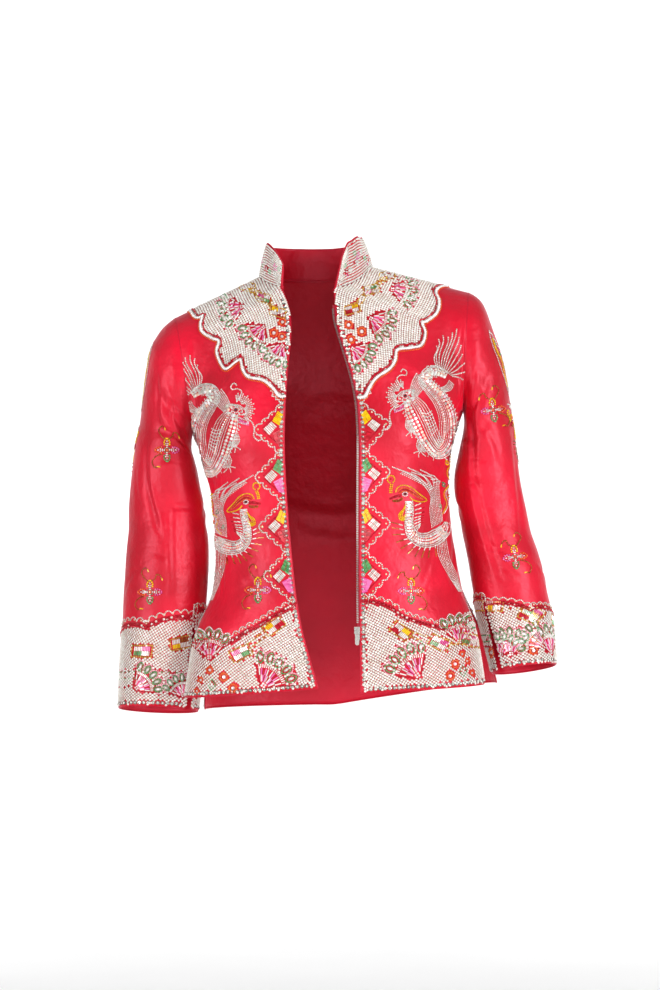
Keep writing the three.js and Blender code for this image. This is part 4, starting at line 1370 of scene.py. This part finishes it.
# pixel, turn and scale of the eye's chart; the flower's middle; the vine's foot, turn and height
dragonEye = {"front_right": (236, 410, -8, 1.0), "front_left": (405, 396, 0, 1.0)}
phoenixEye = {"front_right": (246, 502, -10, 0.93), "front_left": (405, 494, 0, 1.0)}
frontFlower = {"front_right": (258, 590), "front_left": (411, 591)}
sideVine = {"front_right": (222, 534, -20, 62), "front_left": (442, 514, -9, 82)}
edgePoints = [
    (428, "yellow", "red"), (476.5, "green", "pink"), (527, "yellow", "red"), (577, "green", "pink"),
]


# The yoke's rim: overlapping pearls between a red and an orange line
def yokeLines(panel, s, t, inside):
    side = innerSide(panel, s, t, inside)
    stitch(panel, s, t, ("seed", "pearl", (4.2, 5.4, 3.4)), 2.5)
    stitch(panel, s, t, seed("red", 1.25), 2.4, side * 3.9, 0.9, covers=1.5)
    stitch(panel, s, t, seed("orange"), aside=-side * 3.1)


# A field's half at or beyond a share across, or the half short of it
def halfOf(field, middle, side):
    def test(s, t):
        far = s - np.floor(s) >= middle
        return field(s, t) & (far if side > 0 else ~far)

    return test


def dressFront(name):
    panel = panels[name]
    mirror = -1 if name == "front_right" else 1
    s, t = photoPath(panel, yokeRim[name], lambda p: (p[0], 1.0), lambda p: (0.0, p[1] - 0.004))
    yoke = within([(s[0], 1.1), *zip(s, t), (-0.1, t[-1]), (-0.1, 1.1)])
    yokeLines(panel, s, t, yoke)
    hs, ht = photoPath(panel, hemRim[name], lambda p: (0.0, p[1]), lambda p: (1.0, p[1]))
    hem = within([(-0.1, ht[0]), *zip(hs, ht), (1.1, ht[-1]), (1.1, -0.1), (-0.1, -0.1)])

    def bare(a, b):
        return ~(yoke(a, b) | hem(a, b))

    for x, y, turn, scale, halo in hemFans[name]:
        fan(FrontChart(panel, (x, y), turn, scale, mirror), halo=halo)
    scallops(panel, hs[:-1], ht[:-1], -innerSide(panel, hs, ht, hem), keep=panel.free)
    for x, y, turn, scale in yokeFans[name]:
        fan(FrontChart(panel, (x, y), turn, scale * 0.92, mirror))
    for x, y, first, second in yokeLozenges[name]:
        lozenge(FrontChart(panel, (x, y), 28, 0.95, mirror), first, second)
    for x, y, turn, first, second in hemLozenges[name]:
        lozenge(FrontChart(panel, (x, y), turn, 1.25, mirror), first, second)
    for table in (yokeLozenges[name], hemLozenges[name]):
        for (x, y, *_), (x2, y2, *_) in zip(table, table[1:]):
            s2, t2 = photoPath(panel, [(x, y), ((x + x2) / 2, (y + y2) / 2), (x2, y2)])
            for aside in (-3.2, 3.2):
                stitch(panel, s2, t2, seed("gold", 1.15), aside=aside, keep=panel.free)
    for x, y, scale in yokeRings[name] + hemRings[name]:
        ring(FrontChart(panel, (x, y), 0, scale), (0, 0))
    diamond = FrontChart(panel, hemDiamond[name])
    diamond.line([(0, 8), (5, 0), (0, -8), (-5, 0), (0, 8)], seed("green"), smooth=False)
    diamond.dots([(0, 0)], gem("white", 5, 3), 90)
    for y, first, second in edgePoints:
        edgePoint(Chart(panel, (0.0, edgeLevel(panel, y)), 0, 1.12, keep=bare), first, second)
    tongue = Chart(panel, (0.0, edgeLevel(panel, 402)), keep=bare)
    tongue.line([(3, -2), (8, 2), (9, 6), (13, 7), (14, 12), (19, 14), (18, 20), (23, 24)], seed("silver"))
    for k in range(4):
        tongue.line([(3 + k * 0.6, 1 + k * 3.2), (17 + k * 0.5, 18 + k * 2)], seed("red"))
    x, y, turn, scale = dragonEye[name]
    dragon(FrontChart(panel, (x, y), turn, scale, mirror, bare))
    x, y, turn, scale = phoenixEye[name]
    phoenix(FrontChart(panel, (x, y), turn, scale, mirror, bare))
    flower(FrontChart(panel, frontFlower[name], 0, 1.35, mirror))
    x, y, turn, high = sideVine[name]
    vine(FrontChart(panel, (x, y), turn, 1, mirror, lambda a, b: bare(a, b) & panel.free(a, b)), high)
    rise = np.linspace(0.012, 0.8, 60)
    trimEdge(panel, acrossTo(panel, 4.2, rise), rise)
    across = np.linspace(0.03, 0.975, 40)
    trimEdge(panel, across, upTo(panel, 4.4, across))
    slit = np.linspace(0.02, 0.185, 12)
    stitch(panel, acrossTo(panel, -2.6, slit), slit, seed("silver", 1.15))
    fillRows(panel, (0.45, 0.8), 78, (190, 190), yoke, 3.4, (4.1, 4.0, 2.2))
    fillRows(panel, (0.4, 0.08), -34, (230, 150), hem)


sequinSet = {"wide": 5.4, "pitch": 5.4 * 1.16, "lift": 0.7}


# Sequins, each held by a silver seed
def trimEdge(panel, s, t):
    stitch(panel, s, t, sequin(sequinSet["wide"]), pitch=sequinSet["pitch"])
    stitch(panel, s, t, seed("silver"), pitch=sequinSet["pitch"], lift=sequinSet["lift"])


def dressBack():
    panel = panels["back"]
    behind = []
    for k in range(141):
        turn = 194 + 157 * k / 140
        far = 158 + 15 * abs(math.sin(math.pi * 8 * k / 140)) ** 0.6
        x, z = polar(far, turn, (2, 2))
        behind.append(panel.struck(Vector((x * mm, 1, z * mm)), Vector((0, -1, 0))))
    s, t = np.array(behind).T
    yoke = within([(s[0], 1.1), *zip(s, t), (s[-1], 1.1)])
    yokeLines(panel, s, t, yoke)
    hs = np.linspace(0, 1, 121)
    ht = 0.135 + 0.014 * np.abs(np.sin(hs * math.pi * 5)) + 0.012 * np.cos(hs * math.tau)
    hem = within([(-0.1, ht[0]), *zip(hs, ht), (1.1, ht[-1]), (1.1, -0.1), (-0.1, -0.1)])
    scallops(panel, hs[1:-1], ht[1:-1], -innerSide(panel, hs, ht, hem))

    def bare(a, b):
        return ~(yoke(a, b) | hem(a, b))

    for side in (1, -1):
        for u, v, turn in ((26, -42, -160), (78, -30, -128), (120, 0, -104)):
            whole = Chart(panel, (0.5, 0.955), mirror=side)
            fan(whole.sub((u, v), turn, 0.95))
        for u, v, first, second in ((62, 8, "red", "yellow"), (92, 24, "green", "pink")):
            lozenge(Chart(panel, (0.5, 0.955), mirror=side).sub((u, v), 28), first, second)
        for u, v in ((46, -8), (56, -15), (46, -20)):
            ring(Chart(panel, (0.5, 0.955), mirror=side), (u, v))
        dragon(Chart(panel, (0.5 + side * 0.13, 0.6), mirror=side, keep=bare))
        phoenix(Chart(panel, (0.5 + side * 0.12, 0.41), mirror=side, keep=bare))
        flower(Chart(panel, (0.5 + side * 0.17, 0.2), mirror=side))
        whole = Chart(panel, (0.5, 0.0), mirror=side)
        for u, v, turn, scale in ((72, 12, 20, 1.15), (140, 28, 0, 1.0)):
            fan(whole.sub((u, v), turn, scale))
        for u, v, turn, first, second in ((36, 58, -20, "red", "yellow"), (104, 56, 16, "green", "pink")):
            lozenge(whole.sub((u, v), turn), first, second)
        for u, v in ((30, 22), (38, 33), (112, 18), (122, 30), (170, 20)):
            ring(whole, (u, v))
        slit = np.linspace(0.02, 0.185, 12)
        stitch(panel, acrossTo(panel, -2.6 if side > 0 else 2.6, slit), slit, seed("silver", 1.15))
    middle = Chart(panel, (0.5, 0.5), keep=bare)
    ring(middle, (0, 12), 8, "yellow", "red")
    for k in range(8):
        leaf(middle, polar(20, 45 * k, (0, 12)), 45 * k, 13, 7, "orange", "silver")
    flower(Chart(panel, (0.5, 0.33)))
    fan(Chart(panel, (0.5, 0.012), 0, 1.1))
    across = np.linspace(0.02, 0.98, 70)
    trimEdge(panel, across, upTo(panel, 4.4, across))
    fillRows(panel, (0.5, 0.9), 0, (260, 150), yoke, 3.4, (4.1, 4.0, 2.2))
    for side in (1, -1):
        fillRows(panel, (0.5 + side * 0.25, 0.07), -34 * side, (190, 170), halfOf(hem, 0.5, side))


cuffFans = {
    "sleeve_right": [(134, 690, -52, 1.0), (184, 698, 24, 0.85)],
    "sleeve_left": [(545, 646, 60, 1.0), (501, 657, -10, 0.85)],
}
cuffLozenges = {
    "sleeve_right": [(142, 651, 10, "green", "pink"), (180, 643, 24, "yellow", "brown")],
    "sleeve_left": [(533, 612, -20, "green", "pink"), (493, 605, 10, "yellow", "brown")],
}
sleeveFlowers = {
    "sleeve_right": [(167, 450, 0), (150, 592, 0)],
    "sleeve_left": [(493, 410, 8), (515, 557, 8)],
}
sleevePhoenix = {"sleeve_right": (0.42, 0.46), "sleeve_left": (0.38, 0.44)}
# The cuff's unseen sides: millimetres from the middle of the outer side, up from the edge
cuffSides = {
    "fans": [(-56, 10, 12, 1.0), (-118, 12, -8, 0.95)],
    "lozenges": [
        (4, 66, 0, "yellow", "red"), (-36, 62, 12, "green", "pink"), (-92, 66, -12, "red", "yellow"),
    ],
    "rings": [(-22, 20), (-26, 33), (-88, 18), (-88, 32), (-144, 22)],
}


def dressSleeve(name):
    panel = panels[name]
    height = panel.lengthUp[-1, panel.wide // 2, 0]
    rim = np.linspace(0.0, 1.0, 161)
    tall = 78 + 24 * (np.abs(rim - 0.42) / 0.58) ** 1.6 + 7 * np.abs(np.sin(rim * math.pi * 5)) ** 0.6
    level = 1 - tall / height
    cuff = within([(-0.2, 1.2), (-0.2, level[0]), *zip(rim, level), (1.2, level[-1]), (1.2, 1.2)])

    def onCuff(a, b):
        return cuff(a - np.floor(a), b)

    scallops(panel, rim, level, -innerSide(panel, rim, level, onCuff))
    mirror = 1 if name == "sleeve_right" else -1

    def upright(spot, turn=0, scale=1.0, keep=None, flip=1):
        return Chart(panel, spot, 180 + turn, scale, mirror * flip, keep)

    for x, y, turn, scale in cuffFans[name]:
        fan(FrontChart(panel, (x, y), turn, scale * 0.9, 1, onCuff))
    for x, y, turn, first, second in cuffLozenges[name]:
        lozenge(FrontChart(panel, (x, y), turn, 1.2, 1, onCuff), first, second)
    whole = upright((0.5, 1.0), keep=onCuff)
    for u, v, turn, scale in cuffSides["fans"]:
        fan(whole.sub((u, v), turn, scale))
    for u, v, turn, first, second in cuffSides["lozenges"]:
        lozenge(whole.sub((u, v), turn, 1.25), first, second)
    for u, v in cuffSides["rings"]:
        ring(whole, (u, v))
    for x, y, turn in sleeveFlowers[name]:
        flower(FrontChart(panel, (x, y), turn, 1.25, -mirror))

    def bare(a, b):
        return ~onCuff(a, b) & (b > 0.02)

    spray(upright((sleevePhoenix[name][0] - 0.01, 0.3), 4 * mirror, 1.0, bare, mirror))
    phoenix(upright(sleevePhoenix[name], 0, 0.7, bare, -mirror))
    flower(upright((0.68, 0.3), 0, 1.25, bare))
    flower(upright((0.74, 0.62), 0, 1.25, bare))
    around = np.linspace(0.03, 0.97, 60)
    trimEdge(panel, around, upTo(panel, -4.4, around))
    slit = np.linspace(0.8, 0.99, 14)
    for reach in (2.4, -2.4):
        stitch(panel, acrossTo(panel, reach, slit), slit, seed("silver", 1.15))
    for side in (1, -1):
        fillRows(panel, (0.42 + side * 0.27, 0.92), -34 * side, (140, 130), halfOf(onCuff, 0.42, side))


def dressCollar():
    panel = panels["collar"]
    along = np.linspace(0.008, 0.992, 140)
    stitch(panel, along, upTo(panel, 2.2, along), seed("silver", 1.2))
    stitch(panel, along, upTo(panel, -2.4, along), seed("silver", 1.05))
    rise = np.linspace(0.03, 0.97, 20)
    for reach in (2.2, -2.2):
        stitch(panel, acrossTo(panel, reach, rise), rise, seed("silver", 1.05))
    for k, share in enumerate((0.045, 0.13, 0.23, 0.34, 0.45, 0.55, 0.66, 0.77, 0.87, 0.955)):
        rose = Chart(panel, (share, 0.36 if k % 2 else 0.56), 30 * k)
        petal, curl = ("red", "pink") if k % 2 else ("pink", "red")
        for turn in range(0, 360, 72):
            rose.dots([polar(3.6, turn)], gem(petal, 5.0, 3.4), turn)
        rose.dots([(0, 0)], stone("white", 2.6))
        for turn in (40, 160, 280):
            leaf(rose, polar(10, turn), turn, 8, 4.6, "silver" if turn != 160 else "green", "silver")
            path = [polar(6, turn + 40), polar(9, turn + 55), polar(12, turn + 40)]
            rose.line(path, seed(curl, 0.85))

    def clearOfTips(a, b):
        return (a > 0.008) & (a < 0.992)

    fillRows(panel, (0.5, 0.5), 0, (190, 34), clearOfTips, 2.95, (3.4, 3.3, 2.0))


pipingSet = {"radius": 0.95, "proud": 0.3, "slitTop": 0.19, "edgeTop": 0.8125, "neck": 1.7, "armhole": 1.1}


def piping(name, panel, s, t, radius=pipingSet["radius"]):
    places = panel.look(panel.at, s, t) - panel.look(panel.out, s, t) * (radius - pipingSet["proud"]) * mm
    data = bpy.data.curves.new(name, "CURVE")
    data.dimensions = "3D"
    data.bevel_depth = radius * mm
    data.bevel_resolution = 1
    data.use_fill_caps = True
    line = data.splines.new("POLY")
    line.points.add(len(places) - 1)
    for point, place in zip(line.points, places):
        point.co = (*place, 1)
    holder = addObject(name + "Line", data)
    mesh = bpy.data.meshes.new_from_object(holder.evaluated_get(bpy.context.evaluated_depsgraph_get()))
    bpy.data.objects.remove(holder)
    for face in mesh.polygons:
        face.use_smooth = True
    mesh.materials.clear()
    addPiece(name, mesh, satinPiping)


def makePiping():
    whole = np.linspace(0, 1, 150)
    slit = np.linspace(0, pipingSet["slitTop"], 30)
    for name in ("front_right", "front_left"):
        rise = np.linspace(0, pipingSet["edgeTop"], 130)
        piping("piping_edge_" + name, panels[name], np.zeros(130), rise)
        piping("piping_hem_" + name, panels[name], whole, np.zeros(150))
        piping("piping_slit_" + name, panels[name], np.ones(30), slit)
    piping("piping_hem_back", panels["back"], whole, np.zeros(150))
    for k in (0, 1):
        piping(f"piping_slit_{k + 1}_back", panels["back"], np.full(30, float(k)), slit)
    piping("seam_neck_collar_facing", panels["collar_facing"], whole, np.zeros(150), pipingSet["neck"])
    inner = np.linspace(0.0, 0.99999, 150)
    for name in ("sleeve_right", "sleeve_left"):
        piping("piping_cuff_" + name, panels[name], inner, np.ones(150))
        piping("seam_armhole_" + name, panels[name], inner, np.zeros(150), pipingSet["armhole"])
    piping("piping_top_collar", panels["collar"], whole, np.ones(150))
    for k in (0, 1):
        piping(f"piping_tip_{k + 1}_collar", panels["collar"], np.full(20, float(k)), np.linspace(0, 1, 20))


teethSet = {
    "pitch": 2.3, "wide": 2.6, "high": 1.25, "deep": 1.9, "behind": 2.5,
    "proud": {"left": 3.5, "right": -1.0},
}


def makeTeeth():
    for side in ("left", "right"):
        panel = panels["front_" + side]
        t = np.linspace(0.145, 0.775, 400)
        zero = np.zeros_like(t)
        length = lengthsOf(panel, zero, t)
        at = np.arange(2, length[-1], teethSet["pitch"])
        t = np.interp(at, length, t)
        zero = np.zeros_like(t)
        into = panel.look(panel.across, zero, t)
        out = panel.look(panel.out, zero, t)
        shift = into * teethSet["proud"][side] + out * teethSet["behind"]
        places = panel.look(panel.at, zero, t) - shift * mm
        way = unit(np.gradient(places, axis=0))
        bm = bmesh.new()
        for place, x, z in zip(places, into, way):
            y = np.cross(z, x)
            turn = Matrix((x, y, z)).transposed().to_4x4()
            size = Matrix.Diagonal([teethSet[key] * mm for key in ("wide", "deep", "high")] + [1])
            bmesh.ops.create_cube(bm, size=1, matrix=Matrix.Translation(place) @ turn @ size)
        bmesh.ops.recalc_face_normals(bm, faces=bm.faces)
        addPiece("zip_teeth_" + side, meshFrom(bm, "zipTeeth"), nickel)


for name in ("front_right", "front_left"):
    dressFront(name)
report("fronts beaded")
dressBack()
report("back beaded")
for name in ("sleeve_right", "sleeve_left"):
    dressSleeve(name)
dressCollar()
report("sleeves and collar beaded")
makeBeads()
makePiping()
makeTeeth()
tape = tapeMaterial()
for name, finish in (("zip_tape_right", tape), ("zip_tape_left", tape), ("zip_slider", nickel),
                     ("zip_box", nickel), ("zip_pull", nickel)):
    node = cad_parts[name]
    node.data.materials.clear()
    node.data.materials.append(finish)
report("trims made")


# Lights and cove

def softbox(name, place, aim, size, power):
    data = bpy.data.lights.new(name, "AREA")
    data.shape = "RECTANGLE"
    data.size, data.size_y = size
    data.energy = power
    data.color = (1, 1, 1)
    lamp = addObject(name, data)
    lamp.location = place
    lamp.rotation_euler = (Vector(aim) - Vector(place)).to_track_quat("-Z", "Y").to_euler()


studioSet = {"floor": -1.3, "deep": 6.5, "wide": 12.0, "bend": 1.5, "high": 7.0, "near": 8.0, "sky": 0.33}


def makeStudio():
    bm = bmesh.new()
    bend = studioSet["bend"]
    line = [(-studioSet["near"], 0)]
    for k in range(13):
        angle = math.radians(90 * k / 12)
        line.append((studioSet["deep"] + bend * math.sin(angle), bend * (1 - math.cos(angle))))
    line.append((studioSet["deep"] + bend, studioSet["high"]))
    verts = [bm.verts.new((-studioSet["wide"], y, studioSet["floor"] + z)) for y, z in line]
    edges = [bm.edges.new(pair) for pair in zip(verts, verts[1:])]
    swept = bmesh.ops.extrude_edge_only(bm, edges=edges)
    moved = [v for v in swept["geom"] if isinstance(v, bmesh.types.BMVert)]
    bmesh.ops.translate(bm, verts=moved, vec=(2 * studioSet["wide"], 0, 0))
    mesh = meshFrom(bm, "cove")
    mesh.materials.append(coveMaterial())
    addObject("cove", mesh)
    softbox("fillLeft", (-2.9, -2.9, -0.2), (0, 0, -0.3), (1.0, 2.2), 82)
    softbox("keyRight", (2.9, -2.8, 0.1), (0, 0, -0.3), (1.0, 2.2), 112)
    softbox("frontLow", (0.2, -4.2, -1.0), (0, 0, -0.4), (2.4, 0.8), 22)
    softbox("topSoft", (0, -0.4, 2.2), (0, 0, -0.3), (2.4, 1.6), 2)
    softbox("coveLeft", (-4.0, 3.2, 1.6), (-1.5, 8.0, -0.3), (2, 4), 225)
    softbox("coveRight", (4.0, 3.2, 1.6), (1.5, 8.0, -0.3), (2, 4), 225)
    world = bpy.data.worlds.new("softWorld")
    world.use_nodes = True
    sky = world.node_tree.nodes["Background"].inputs
    sky["Color"].default_value = linear("#FFFFFF")
    sky["Strength"].default_value = studioSet["sky"]
    bpy.context.scene.world = world
    bpy.context.scene.view_settings.view_transform = "Standard"


makeStudio()
report("studio made")

# End: the view layer is brought up to date
bpy.context.view_layer.update()
